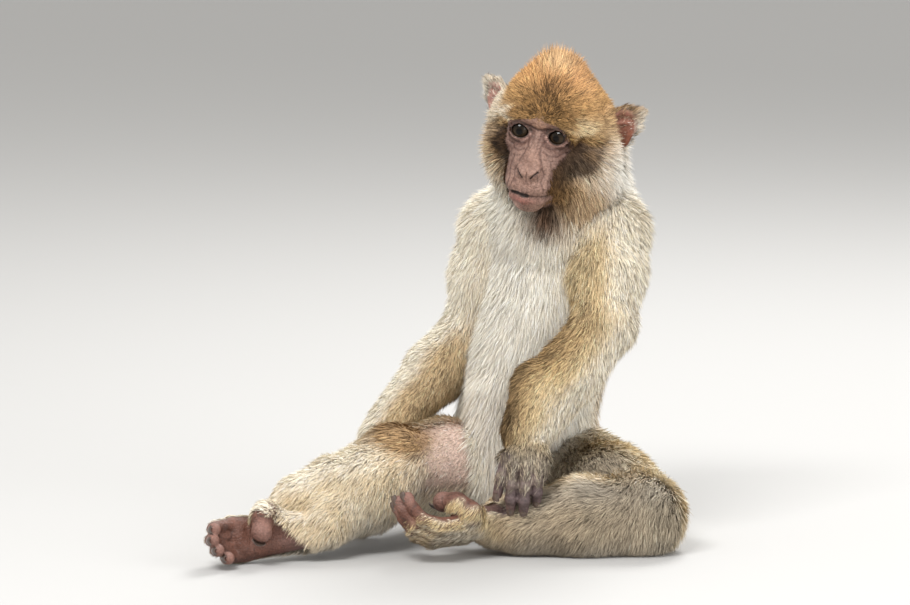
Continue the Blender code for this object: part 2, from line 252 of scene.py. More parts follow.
def settled(points, rounds=3, furthest=1.2):
    """Moves points to the zero level."""
    for _ in range(rounds):
        value, slope = slopes(points)
        move = slope * (value / np.maximum((slope**2).sum(1), 0.05))[:, None]
        length = np.linalg.norm(move, axis=1, keepdims=True)
        points = points - move * np.minimum(1, furthest / np.maximum(length, 1e-6))
    return points


# ---- body forms
def body_forms():
    """The trunk as a row of balls, the neck and shoulders, the fuller fur and the limbs."""
    for low, high in zip(TRUNK, TRUNK[1:]):
        for k in range(TRUNK_STEPS):
            *middle, width, depth = (a + (b - a) * k / TRUNK_STEPS for a, b in zip(low, high))
            ball(middle, (width, depth, 30), HEADING, 9)
    *middle, width, depth = TRUNK[-1]
    ball(middle, (width, depth, 22), HEADING, 9)
    rod(joint("neck"), joint("nape"), 40, 35, 10)
    rod(joint("nape"), in_head(0, 8, -12), 35, 31, 12)
    rod(joint("neck") + HEADING @ (0, 10, 14), in_head(-2, 22, 2), 34, 29, 14)
    rod(joint("neck") + (8, 4, 22), joint("shoulder_L") + (-4, 2, 2), 22, 20, 14)
    rod(joint("neck") + (-8, 10, 18), joint("shoulder_R") + (4, 0, 2), 20, 19, 14)
    rod(*BELLY_FRINGE, 10, 9, 12)
    chain(ANKLE_FUR, (17, 14, 10), 8)
    chain(WRIST_FUR, (12, 14, 12), 12)
    for side in "LR":
        limb(joint("shoulder_" + side), joint("elbow_" + side), UPPER_ARM, 10)
        limb(joint("elbow_" + side), joint("wrist_" + side), FOREARM, 7)
        limb(joint("hip_" + side), joint("knee_" + side), THIGH, 9)
        limb(joint("knee_" + side), joint("ankle_" + side), SHIN, 7)


# ---- head forms
def head_forms():
    def at(x, y, z, radii, blend=6.0, cut=False):
        ball(in_head(x, y, z), radii, HEAD_TURN, blend, cut)

    at(-4, 10, 6, (28.5, 42, 33.5), 8)  # skull
    at(-22, 4, 14, (15, 28, 17), 9)  # its right side
    at(18, 4, 12, (12.5, 28, 16), 9)  # its left side
    at(0, -11, 15, (27, 27, 20), 8)  # forehead
    at(0, -9, -12, (31, 28, 36), 8)  # face
    at(0, -18, -38, (23, 27, 18), 8)  # jaw
    at(-1.5, -38, -33, (20.5, 20.5, 15.5), 7)  # muzzle
    at(-1, -45.5, -36, (18, 14.5, 9), 4)  # upper lip
    rod(in_head(0, -33, 4), in_head(0, -46.5, -18), 7.5, 10.5, 8)  # bridge of the nose
    at(0, -56.5, -24.5, (8, 4.6, 5), 4)  # tip of the nose
    rod(in_head(0, -57, -25), in_head(0, -58, -31), 2.4, 1.7, 2.5)  # septum
    at(-1.5, -41, -49, (12.5, 13, 9.5), 5)  # chin
    for side in (-1, 1):
        at(side * 11, -39, -20, (10.5, 11, 14), 7)  # side of the snout
        # Wing of the nose.
        rod(in_head(side * 6.5, -55, -20.5), in_head(side * 4, -58.6, -24.5), 3.2, 2.8, 2.5)
        at(side * 24, -26, -10, (9, 10, 9), 7)  # cheekbone
        at(side * 25, -12, 4, (9, 14, 10), 8)  # temple
        at(side * 25, 2, -22, (15, 21, 25), 9)  # side of the ruff
        rod(in_head(side * 3, -39.5, 11), in_head(side * 16, -38, 13), 4.4, 4.8, 5)  # brow
        rod(in_head(side * 16, -38, 13), in_head(side * 27, -27, 8), 4.8, 4.0, 5)
    # Lips: an upper and a lower roll.
    lips = ((-17.5, -39, -41.5), (-11, -52.5, -41.4), (-1, -59.5, -42), (9, -52.5, -42), (14, -39, -41.5))
    for offset, radii in (((0, 3, 3), (2.4, 3.4, 3.4, 3.4, 2.0)), ((0, 4.6, -4), (2.4, 3.6, 3.6, 3.4, 1.8))):
        chain([in_head(*(np.array(p) + offset)) for p in lips], radii, 3.5)
    for side in (-1, 1):
        eye_forms(side)
        ear_forms(side)


def lens(x, z, half_width, rise):
    """Distance to an almond of the given half width and half height, with eased corners."""
    radius = (half_width**2 + rise**2) / (2 * rise)
    upper = np.sqrt(x * x + (z + radius - rise) ** 2) - radius
    lower = np.sqrt(x * x + (z - radius + rise) ** 2) - radius
    overlap = np.maximum(2.2 - np.abs(upper - lower), 0) / 2.2
    return np.maximum(upper, lower) + overlap**2 * 2.2 / 4


EYE_HALF_WIDTH = 7.2
EYE_RISE = 4.95
EYE_INWARD = 1.1  # from the ball's middle to the middle of the opening
EYE_TILT = math.radians(5)
EYE_REACH = 16  # the folds of the lids lie within this


def eye_local(side, x, y, z):
    """Coordinates about an eye: outwards from the nose, backwards, and up across the lids."""
    middle = eye_middle(side)
    q = [sum(HEAD_TURN[j, k] * (v - middle[j]) for j, v in enumerate((x, y, z))) for k in range(3)]
    out, back, up = q[0] * side + EYE_INWARD, q[1], q[2]
    c, s = math.cos(EYE_TILT), math.sin(EYE_TILT)
    return out * c + up * s, back, up * c - out * s


def eye_forms(side):
    middle = eye_middle(side)

    def folds(x, y, z):
        """A shallow hollow round the lids, with a ring of thicker skin at their edge."""
        out, back, up = eye_local(side, x, y, z)
        rim = lens(out, up, EYE_HALF_WIDTH, EYE_RISE)
        shell = np.sqrt((out - EYE_INWARD) ** 2 + back**2 + up**2) - (EYE_RADIUS + 1.9)
        shell = shell + 0.45 * ring(rim, 2.5, 0.8)
        shell = shell + 0.3 * ring(rim, 4.6, 0.9) * (up < 0)
        return np.maximum(shell, back - 3)

    def opening(x, y, z):
        out, back, up = eye_local(side, x, y, z)
        return np.maximum(lens(out, up, EYE_HALF_WIDTH, EYE_RISE), back)

    form(folds, middle - EYE_REACH, middle + EYE_REACH, 3.0)
    form(opening, middle - EYE_REACH, middle + EYE_REACH, 0.9, cut=True)
    ball(middle, EYE_RADIUS + 0.25, None, 0.2, cut=True)


def ear_axes(side):
    """Outwards, away from the face and up, for the leaf of an ear."""
    swept = 20 if side > 0 else 28
    return HEAD_TURN @ turn("z", side * swept) @ turn("y", side * 10) @ np.diag([side, 1, 1]).astype(float)


EAR_MIDDLE = {-1: (52, 12, 4), 1: (48.5, 12, 2.5)}  # by side, -1 is the right
EAR_RIM = (
    *((-10, 1, 9), (-1, 2, 15.5), (8.5, 3, 16.5), (9.5, 3.2, 5)),
    *((6, 2.6, -7), (-1, 1.6, -15), (-9, 0, -16)),
)


def in_ear(side, out, back, up):
    x, y, z = EAR_MIDDLE[side]
    return in_head(side * x, y, z) + ear_axes(side) @ np.array([out, back, up], float)


def ear_forms(side):
    def part(a, b, radius_a, radius_b, blend, cut=False):
        rod(in_ear(side, *a), in_ear(side, *b), radius_a, radius_b, blend, cut)

    axes = ear_axes(side)
    ball(in_ear(side, -1.5, 3.5, 0), (10.5, 4.2, 16), axes, 2.5)
    for a, b in zip(EAR_RIM, EAR_RIM[1:]):
        part(a, b, 2.7, 2.7, 2.5)
    part((-18, 2, -2), (-9, 2, -3), 12, 7, 5)  # root
    ball(in_ear(side, -1.2, -2.6, 0.5), (9.2, 5.2, 13.8), axes, 1.4, cut=True)  # cup
    part((-13, -3, -6), (-9.5, -3.5, -9), 2.6, 2.2, 2.5)  # flap before the cup
    part((-5, 1.4, 5), (4.5, 1.0, 9), 1.4, 1.1, 2.0)  # inner fold


# ---- hands and feet
# (place across the palm, distance from the wrist, lengths of the bones, their curls in degrees)
RIGHT_FINGERS = (
    (14, 36, (17, 12, 8), (2, 8, 8)),
    (4.8, 39, (19, 14, 9), (2, 8, 8)),
    (-4.8, 38, (18, 13, 9), (3, 8, 8)),
    (-14, 34, (14, 10, 8), (4, 8, 8)),
)
RIGHT_THUMB = (13, 16, (15, 11), (2, 8))
LEFT_FINGERS = (
    (6.5, 30, (15.5, 11, 8), (36, 26, 16)),
    (-3.5, 31, (15.5, 11, 8), (36, 26, 16)),
    (-12.5, 28, (12.5, 9, 7), (40, 26, 16)),
    (-14.5, 22, (11, 8, 6.5), (70, 45, 25)),
)
LEFT_THUMB = (11, 23, (16, 13), (30, 25))
TOES = (
    (11, 57, (17, 11, 9), (30, 40, 12)),
    (3, 59, (18, 12, 9), (30, 42, 12)),
    (-5, 57, (17, 11, 9), (30, 42, 12)),
    (-12, 52, (14, 10, 8), (30, 40, 12)),
)
BIG_TOE = (15, 31, (12, 12), (12, 34))
DIGITS = []  # (joint points, dorsal direction of the tip, radius of the tip)


def digit(base, along, bend_to, lengths, curls):
    """The joints of a finger or toe that curls towards bend_to, and the way its nail faces."""
    points, angle = [np.asarray(base, float)], 0.0
    for length, curl in zip(lengths, curls):
        angle += math.radians(curl)
        step = along * math.cos(angle) + bend_to * math.sin(angle)
        points.append(points[-1] + step * length)
    dorsal = along * math.sin(angle) - bend_to * math.cos(angle)
    return points, dorsal


def frame_of(along, palm):
    along = unit(along)
    palm = np.asarray(palm, float)
    return along, unit(palm - along * (palm @ along))


LIMB_ENDS = {  # the way each hand or foot points, and the way its palm or sole faces
    "hand_R": frame_of((-0.25, -0.1, -1), (0.2, -1, 0)),
    "hand_L": frame_of((-0.1, -0.84, -0.55), (0, 0.55, -0.84)),
    "foot_R": frame_of((-1, -0.25, -0.1), (0.1, -1, 0.15)),
    "foot_L": frame_of((-0.75, -0.65, -0.06), (-0.5, 0.35, 0.8)),
}
HANDS, FEET = ("hand_L", "hand_R"), ("foot_L", "foot_R")
END_LENGTH = 75  # length of the line that stands for a hand or foot in LINES


def end_joint(name):
    return joint(("wrist_" if name in HANDS else "ankle_") + name[-1])


def end_frame(name):
    """Where a hand or foot starts, and its ways across (towards the thumb), along and out of the palm."""
    along, palm = LIMB_ENDS[name]
    across = np.cross(palm, along) * (1 if name[-1] == "L" else -1)
    return end_joint(name), across, along, palm, np.stack([across, along, palm], 1)


def hand_forms(name, fingers, thumb):
    start, across, along, palm, axes = end_frame(name)
    middle = across * 0.6 * np.mean([place for place, *_ in fingers])
    ball(start + along * 14 + middle, (12.5, 17, 7.5), axes, 5)
    ball(start + along * 26 + middle + palm * 4, (12, 7, 4), axes, 3)
    for place, distance, lengths, curls in fingers:
        base = start + along * distance + across * place
        points, dorsal = digit(base, along, palm, lengths, curls)
        chain([start + along * 12 + across * place * 0.7, *points], (5.2, 5, 4.4, 4.2, 3.7), 1.3)
        ball(points[1] - palm * 0.6, 4.9, None, 1.5)
        ball(points[2] - palm * 0.4, 4.6, None, 1.5)
        DIGITS.append((points, dorsal, 3.7))
    place, distance, lengths, curls = thumb
    base = start + along * distance + across * place
    points, dorsal = digit(base, unit(along + across * 0.3), palm, lengths, curls)
    chain([start + along * 6, *points], (6, 5.6, 4.6, 3.7), 1.8)
    DIGITS.append((points, dorsal, 3.7))


def foot_forms(name):
    start, across, along, palm, axes = end_frame(name)
    ball(start - along * 13 + palm * 7, (12, 13, 11), axes, 6)  # heel
    ball(start + along * 22 + palm * 4, (14, 40, 9.5), axes, 6)
    rod(start - along * 6 + palm * 9 - across * 6, start + along * 50 + palm * 8 - across * 9, 7, 6.5, 5)
    rod(start + along * 8 + palm * 8 + across * 5, start + along * 34 + palm * 11 + across * 10, 6, 7, 5)
    ball(start + along * 54 + palm * 7, (15, 8, 7), axes, 4)  # ball of the foot
    for place, distance, lengths, curls in TOES:
        base = start + along * distance + across * place + palm * 5
        points, dorsal = digit(base, along, palm, lengths, curls)
        chain([start + along * 24 + across * place * 0.6 + palm * 4, *points], (8, 6, 5, 4.5, 4.1), 1.8)
        ball(points[-1] + (points[-1] - points[-2]) * 0.05 - dorsal * 0.6, 4.7, None, 1.5)
        DIGITS.append((points, dorsal, 4.3))
    place, distance, lengths, curls = BIG_TOE
    base = start + along * distance + across * place + palm * 9
    points, dorsal = digit(base, unit(along * 0.5 + palm), -across, lengths, curls)
    chain([start + along * 14 + palm * 6, *points], (9.5, 9.2, 8.4, 7), 3)
    ball(points[-1] - dorsal * 0.8, 7.6, None, 2)
    DIGITS.append((points, -palm, 7))


def limb_end_forms():
    hand_forms("hand_R", RIGHT_FINGERS, RIGHT_THUMB)
    hand_forms("hand_L", LEFT_FINGERS, LEFT_THUMB)
    foot_forms("foot_R")
    foot_forms("foot_L")


def floor_form():
    low = np.array([-260, -220, -60.0])
    form(lambda x, y, z: z - 0.4 + 0 * (x + y), low, (200, 200, 0), 2.0, cut=True)


# ---- skin mesh
def triangles_of(quads, points):
    """Each quad cut along its shorter diagonal."""
    a, b, c, d = (points[quads[:, k]] for k in range(4))
    short = ((a - c) ** 2).sum(1) < ((b - d) ** 2).sum(1)
    one = np.where(short[:, None], quads[:, [0, 1, 2]], quads[:, [0, 1, 3]])
    two = np.where(short[:, None], quads[:, [0, 2, 3]], quads[:, [1, 2, 3]])
    return np.concatenate([one, two])


def refined(points, faces, marked):
    """Cuts marked triangles in four, and their neighbours in two so that no gap opens."""
    corners = faces[:, [0, 1, 1, 2, 2, 0]].reshape(-1, 2)
    edges, of = np.unique(np.sort(corners, 1), axis=0, return_inverse=True)
    of = of.reshape(-1, 3)
    cut = np.zeros(len(edges), bool)
    while True:
        cut[of[marked].ravel()] = True
        more = (cut[of].sum(1) > 1) & ~marked
        if not more.any():
            break
        marked = marked | more
    number = np.full(len(edges), -1)
    number[cut] = len(points) + np.arange(cut.sum())
    points = np.concatenate([points, points[edges[cut]].mean(1)])
    mid = number[of]
    whole = faces[cut[of].sum(1) == 0]
    (a, b, c), (d, e, f) = faces[marked].T, mid[marked].T
    parts = [whole, *(np.stack(corner, 1) for corner in ((a, d, f), (d, b, e), (f, e, c), (d, e, f)))]
    for k in range(3):
        one = ~marked & cut[of[:, k]]
        a, b, c, e = faces[one, k], faces[one, (k + 1) % 3], faces[one, (k + 2) % 3], mid[one, k]
        parts += [np.stack([a, e, c], 1), np.stack([e, b, c], 1)]
    return points, np.concatenate(parts)


def head_frame(points):
    """Places as counted from the head: across to its left, backwards, and up."""
    return (points - HEAD) @ HEAD_TURN


def fine_zone(points):
    """How many times the triangles are cut in four: once for ears and digits, more for the face."""
    x, y, z = head_frame(points).T
    level = 2 * ((np.abs(x) < 28) & (y < -18) & (z > -58) & (z < 20))
    for side in (-1, 1):
        level[np.linalg.norm(points - in_ear(side, 0, 0, 0), axis=1) < 23] = 1
    for line, _, radius in DIGITS:
        for a, b in zip(line, line[1:]):
            level = np.maximum(level, segment_distance(points, a, b) < radius + 3)
    for side in (-1, 1):
        out, _, up = eye_local(side, *points.T)
        rim = lens(out, up, EYE_HALF_WIDTH, EYE_RISE)
        level[(np.abs(rim) < 3.4) & (y < -30) & (x * side > 2)] = 3
    level[(np.abs(x) < 11) & (y < -50) & (z > -32) & (z < -20)] = 3
    level[(np.abs(x) < 20) & (y < -38) & (np.abs(z + 42) < 3.5)] = 3
    return level


def on_segment(points, a, b):
    """How far along a segment each point lies, from 0 to 1, and how far from it."""
    t = np.clip(((points - a) @ (b - a)) / ((b - a) @ (b - a)), 0, 1)
    return t, np.linalg.norm(points - a - t[:, None] * (b - a), axis=1)


def segment_distance(points, a, b):
    return on_segment(points, a, b)[1]


SKIN_BOX = np.array([-262, -196, -4.0]), np.array([128, 84, 368.0])
SKIN_STEP, MAP_STEP = 2.0, 3.6  # grid of the skin, and of the coarse skin below the coat's map


def surface(low, high, step):
    """The zero level of the field, as points and triangles."""
    grid = openvdb.FloatGrid(FAR)
    grid.copyFromArray(field_grid(low, high, step))
    points, quads = grid.convertToQuads(0.0)
    points = points.astype(float) * step + low
    return points, triangles_of(quads.astype(int), points)


def skin_mesh():
    points, faces = surface(*SKIN_BOX, SKIN_STEP)
    for level in (1, 2, 3):
        points, faces = refined(points, faces, fine_zone(points[faces].mean(1)) >= level)
    return settled(points), faces


def face_crosses(points, faces):
    """Along each triangle's normal, and twice as long as its area."""
    a, b, c = (points[faces[:, k]] for k in range(3))
    return np.cross(b - a, c - a)


def vertex_normals(points, faces):
    across = face_crosses(points, faces)
    normals = np.zeros_like(points)
    for k in range(3):
        np.add.at(normals, faces[:, k], across)
    return unit(normals)


def add_colour(mesh, name, colours):
    layer = mesh.color_attributes.new(name, "FLOAT_COLOR", "POINT")
    rgba = np.ones((len(colours), 4), np.float32)
    rgba[:, :3] = colours
    layer.data.foreach_set("color", rgba.ravel())


def new_object(name, data):
    obj = bpy.data.objects.new(name, data)
    bpy.context.collection.objects.link(obj)
    return obj


def make_mesh(name, points, faces):
    """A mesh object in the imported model's frame."""
    mesh = bpy.data.meshes.new(name)
    mesh.vertices.add(len(points))
    mesh.vertices.foreach_set("co", (points * MM + SHIFT).astype(np.float32).ravel())
    count, sides = faces.shape
    mesh.loops.add(faces.size)
    mesh.loops.foreach_set("vertex_index", faces.astype(np.int32).ravel())
    mesh.polygons.add(count)
    mesh.polygons.foreach_set("loop_start", np.arange(count, dtype=np.int32) * sides)
    mesh.polygons.foreach_set("use_smooth", np.ones(count, bool))
    mesh.update(calc_edges=True)
    return new_object(name, mesh)


# ---- noise
def hashed(cell, seed):
    """Three numbers from 0 to 1 for each whole-numbered cell."""
    h = (cell[:, 0] * 73856093) ^ (cell[:, 1] * 19349663) ^ (cell[:, 2] * 83492791) ^ (seed * 668265263)
    out = []
    for _ in range(3):
        h = ((h ^ (h >> 15)) * 2246822519 + 374761393) & 0xFFFFFFFF
        h = h ^ (h >> 13)
        out.append((h & 0xFFFFFF) / 0xFFFFFF)
    return np.stack(out, 1)


def noise(points, size, seed=1):
    """Smooth noise from -1 to 1, three values at each point."""
    q = points / size
    cell = np.floor(q).astype(np.int64)
    t = q - cell
    t = t * t * (3 - 2 * t)
    total = np.zeros((len(points), 3))
    for corner in np.ndindex(2, 2, 2):
        weight = np.prod(np.where(corner, t, 1 - t), 1)
        total += weight[:, None] * hashed(cell + corner, seed)
    return total * 2 - 1


def lock_centres(points, size, seed=3):
    """The nearest centre of a scattered lock to each point, and three random numbers of that lock."""
    cell = np.floor(points / size).astype(np.int64)
    best = np.full(len(points), np.inf)
    centre = np.zeros_like(points)
    chance = np.zeros_like(points)
    for step in np.ndindex(3, 3, 3):
        other = cell + np.array(step) - 1
        random = hashed(other, seed)
        place = (other + random) * size
        away = ((place - points) ** 2).sum(1)
        nearer = away < best
        best[nearer] = away[nearer]
        centre[nearer] = place[nearer]
        chance[nearer] = random[nearer][:, ::-1]
    return centre, chance


def smooth(low, high, value):
    t = np.clip((value - low) / (high - low), 0, 1)
    return t * t * (3 - 2 * t)


def spot(q, centre, radii):
    """1 at the middle of a soft ellipsoid, falling to 0 well outside it."""
    return np.exp(-(((q - np.array(centre)) / np.array(radii)) ** 2).sum(1))


def ring(value, middle, width):
    """1 where a value is at the middle, falling to 0 on both sides."""
    return np.exp(-(((value - middle) / width) ** 2))


def linear(red, green, blue):
    """A colour from 0 to 255, as the shader's linear light."""
    c = np.array([red, green, blue]) / 255
    return np.where(c <= 0.04045, c / 12.92, ((c + 0.055) / 1.055) ** 2.4)


def mixed(base, colour, share):
    share = np.atleast_1d(np.clip(share, 0, 1))[:, None]
    return base * (1 - share) + colour * share


def layered(colour, *layers):
    """Colours laid over each other in turn, each with its share."""
    for tone, share in layers:
        colour = mixed(colour, tone, share)
    return colour


# ---- parts of the body
def part_lines():
    """The middle lines of each part: (start, end, radius at the start, radius at the end)."""
    lines = {
        "trunk": [
            ((2, 14, 34), (0, 8, 95), 42, 43),
            ((0, 8, 95), (21, 5, 173), 43, 48),
            ((21, 5, 173), (26, -3, 238), 48, 37),
            (*BELLY_FRINGE, 10, 9),
        ],
        "neck": [(joint("neck"), joint("nape"), 40, 35), (joint("nape"), in_head(0, 8, -12), 35, 31)],
        "head": [
            (in_head(0, 10, 10), in_head(0, -12, -4), 36, 33),
            (in_head(0, -12, -4), in_head(0, -36, -36), 33, 19),
        ],
    }
    bones = (
        ("upper_arm_", "shoulder_", "elbow_", 23, 17.5),
        ("forearm_", "elbow_", "wrist_", 18, 12),
        ("thigh_", "hip_", "knee_", 36, 25),
        ("shin_", "knee_", "ankle_", 26, 14),
    )
    for side in "LR":
        for part, start, end, *radii in bones:
            lines[part + side] = [(joint(start + side), joint(end + side), *radii)]
        for part, *radii in (("hand_", 10, 8), ("foot_", 12, 10)):
            start = end_joint(part + side)
            lines[part + side] = [(start, start + LIMB_ENDS[part + side][0] * END_LENGTH, *radii)]
    return {
        name: [(np.array(a, float), np.array(b, float), *radii) for a, b, *radii in rows]
        for name, rows in lines.items()
    }


LINES = part_lines()
PARTS = list(LINES)
PART_BLEND = 4.5  # how softly one part passes into the next


def part_shares(points):
    """How much each point belongs to each part, and how far along the part it lies."""
    away = np.empty((len(points), len(PARTS)))
    along = np.empty_like(away)
    for k, name in enumerate(PARTS):
        best = np.full(len(points), np.inf)
        lines = LINES[name]
        for n, (a, b, ra, rb) in enumerate(lines):
            t, d = on_segment(points, a, b)
            d = d - (ra + (rb - ra) * t)
            nearer = d < best
            best[nearer] = d[nearer]
            along[nearer, k] = ((n + t) / len(lines))[nearer]
        away[:, k] = best
    share = np.exp(-(away - away.min(1, keepdims=True)) / PART_BLEND)
    return share / share.sum(1, keepdims=True), along


def belongs(share, *names):
    """How much each point belongs to the named parts together."""
    return sum(share[:, PARTS.index(name)] for name in names)


# name: coat length at the start and end of the part, rise of the tips, width, tufts to a square mm
COAT = {
    "trunk": ((21, 22), (10.5, 11), 0.54, 3.3),
    "neck": ((20, 19), (13, 13), 0.58, 5.2),
    "head": ((15, 15), (9, 9), 0.42, 7.8),
    "upper_arm": ((18, 15), (11, 7.5), 0.58, 3.5),
    "forearm": ((14, 10), (7.5, 6.0), 0.52, 3.9),
    "hand": ((9, 6.5), (2.2, 1.2), 0.36, 4.0),
    "thigh": ((16, 16), (9.5, 8.5), 0.62, 2.3),
    "shin": ((16, 10), (9, 4.5), 0.54, 2.75),
    "foot": ((8, 4.5), (2.6, 1.2), 0.38, 3.2),
}


def kind_of(name):
    """A part's name without its side."""
    return name.rstrip("LR").rstrip("_")


def coat_numbers(share, along):
    """Length, rise, width and density of the coat, blended over the parts."""
    total = np.zeros((4, len(share)))
    for k, name in enumerate(PARTS):
        (la, lb), (ra, rb), width, density = COAT[kind_of(name)]
        t = along[:, k]
        numbers = (la + (lb - la) * t, ra + (rb - ra) * t, width, density)
        for row, number in zip(total, numbers):
            row += share[:, k] * number  # in place, so that total grows
    return total


# ---- zones of the skin
# (height, half width about FACE_MIDDLE) of the bare face.
FACE_EDGE = (
    *((-72, -12), (-61, 0), (-57, 11), (-51, 17.5), (-43, 20.5), (-36, 20.3), (-28, 20), (-20, 21.5)),
    *((-12, 25), (-4, 28), (3, 28.5), (8, 26), (11.5, 19), (14, 4), (24, -11)),
)
FACE_MIDDLE = -1.8


def face_distance(q):
    """How far each place lies beyond the edge of the bare face, seen from the front."""
    heights, halves = zip(*FACE_EDGE)
    return np.abs(q[:, 0] - FACE_MIDDLE) - np.interp(q[:, 2], heights, halves)


def ragged_edge(q):
    return face_distance(q) + 1.2 * noise(q, 4.0, 11)[:, 0]


def face_skin(q):
    """1 on the bare face, 0 in the coat, with a soft ragged edge."""
    return smooth(1.4, -1.4, ragged_edge(q)) * smooth(-8, -16, q[:, 1])


# Lines pressed into the face: (x, z) points, half width, depth. Those marked True are on both sides.
FACE_LINES = (
    (((8.2, -22.6), (5.8, -24.8), (3.2, -27.8)), 0.55, 1.6, True),  # nostril
    (((0, -23.5), (0, -31)), 0.5, 0.5, False),  # cleft of the nose
    (((31, -1), (25, 5), (18, 8.4), (10, 8.2), (5, 6.9), (0, 6.4)), 0.9, 0.8, True),  # under the brow
    (((7.2, 0.5), (5.2, -5), (6.2, -11), (9, -17)), 1.0, 0.45, True),  # beside the nose
    (((8.5, -5), (13, -6.6), (18, -6.2), (23, -2.8)), 0.6, 0.55, True),  # below the lids
    (((7.5, -8), (12, -10.8), (18, -11), (24, -7.5)), 0.7, 0.45, True),
    (((10, -13.5), (15, -15), (20, -14.5), (24, -11)), 0.7, 0.3, True),
    (((2.6, 4), (2.2, -2), (3.2, -8)), 0.6, 0.35, True),  # between the eyes
    (((9.5, -19), (11.5, -24), (10.5, -30), (13, -37)), 0.7, 0.4, True),  # beside the nostrils
    (((14.5, -15), (16.5, -23), (15, -31), (16.5, -38)), 0.7, 0.4, True),
    (((-14, -41.6), (-7, -41.4), (2, -42), (9, -42.2), (15, -41.6), (20, -39)), 0.7, 0.62, False),  # mouth
    (((-11.5, -41.6), (-6, -41.5), (2, -42)), 1.15, 2.5, False),  # where the lips part
)


def line_distance(x, z, line):
    best = np.full(len(x), np.inf)
    for (xa, za), (xb, zb) in zip(line, line[1:]):
        along = ((x - xa) * (xb - xa) + (z - za) * (zb - za)) / ((xb - xa) ** 2 + (zb - za) ** 2)
        along = np.clip(along, 0, 1)
        best = np.minimum(best, np.hypot(x - xa - along * (xb - xa), z - za - along * (zb - za)))
    return best


def pressed(q):
    """Depth of the nostrils, mouth, folds and wrinkles of the face."""
    x, y, z = (q + 0.5 * noise(q, 5.0, 17)).T
    depth = np.zeros(len(q))
    for line, half, deep, both in FACE_LINES:
        away = line_distance(np.abs(x) if both else x, z, line)
        depth = np.maximum(depth, deep * ring(away, 0, half))
    steep = noise(q * np.array([1.5, 1, 0.5]), 2.3, 21)[:, 0]
    level = noise(q * np.array([0.6, 1, 1.7]), 2.6, 22)[:, 0]
    ridge = np.where(z < -14, np.abs(steep), np.abs(level))
    depth += 0.34 * smooth(0.2, 0, ridge) * smooth(3, 8, np.abs(x) + 0.4 * np.abs(z + 20))
    return depth * smooth(-20, -27, y) * smooth(1, -2, face_distance(q))


def ear_zone(points, normals):
    """How near each point is to an ear, 1 on the bare inside of its cup, and 1 on its rim."""
    near, inside, rim = np.zeros((3, len(points)))
    for side in (-1, 1):
        axes = ear_axes(side)
        q = (points - in_ear(side, 0, 0, 0)) @ axes
        leaf = np.sqrt(((q[:, 0] + 0.5) / 12.5) ** 2 + ((q[:, 2] - 0.5) / 19.5) ** 2)
        zone = smooth(1.5, 1.1, leaf) * smooth(10, 7, np.abs(q[:, 1] - 2)) * smooth(-15, -11, q[:, 0])
        cup = zone * smooth(0.25, -0.1, (normals @ axes)[:, 1]) * smooth(0.97, 0.82, leaf)
        near, inside = np.maximum(near, zone), np.maximum(inside, cup)
        rim = np.maximum(rim, zone * smooth(0.72, 0.92, leaf))
    return near, inside, rim


def bare_thigh(points, normals):
    """1 on the thinly haired inside of the right thigh, fading towards the knee and the belly."""
    hip, knee = joint("hip_R"), joint("knee_R")
    t = (points - hip) @ (knee - hip) / ((knee - hip) @ (knee - hip))
    inward = smooth(-0.5, 0.3, normals[:, 0] * 0.5 - normals[:, 1] * 0.8)
    here = smooth(46, 38, segment_distance(points, hip, knee))
    here *= smooth(15, 23, segment_distance(points, *np.array(BELLY_FRINGE, float)))
    return inward * here * smooth(0.0, 0.2, t) * smooth(1.3, 0.85, t) * smooth(36, 54, points[:, 2])


def palm_zone(points, normals):
    """1 on the bare palms, soles and finger ends."""
    bare = np.zeros(len(points))
    for name, (along, palm) in LIMB_ENDS.items():
        q = points - end_joint(name)
        reach = q @ along
        here = (np.linalg.norm(q - np.outer(reach, along), axis=1) < 42) & (reach > -26) & (reach < 110)
        sole = 1.4 * np.clip(q[:, 2] + 19, 0, 40) - 18
        first = {"foot_L": -8, "foot_R": sole}.get(name, 6)
        under = smooth(-0.05, 0.3, normals @ palm) * smooth(first - 3, first + 3, reach)
        bare = np.maximum(bare, under * here)
    for line, _, radius in DIGITS:
        middle, tip = line[-3], line[-1]
        near = segment_distance(points, middle, tip) < radius + 3
        t = (points - middle) @ unit(tip - middle) / np.linalg.norm(tip - middle)
        bare = np.maximum(bare, near * smooth(-0.5, 0.35, t))
    return bare


# ---- markings
GOLD = linear(173, 134, 86)
ORANGE = linear(160, 116, 75)
TAN = linear(196, 164, 116)
SAND = linear(224, 202, 162)
OCHRE = linear(184, 140, 84)
CREAM = linear(240, 228, 207)
WHITE = linear(246, 241, 230)
GREY = linear(160, 153, 143)
UMBER = linear(76, 47, 23)
DARK = linear(34, 23, 16)
MAUVE = linear(150, 122, 112)
THIGH_SKIN = linear(216, 190, 176)
KNEE = linear(156, 121, 76)
# THROAT: the dark brown below the chin, which stands for its hair and for painted shade there.
THROAT = linear(98, 58, 28)


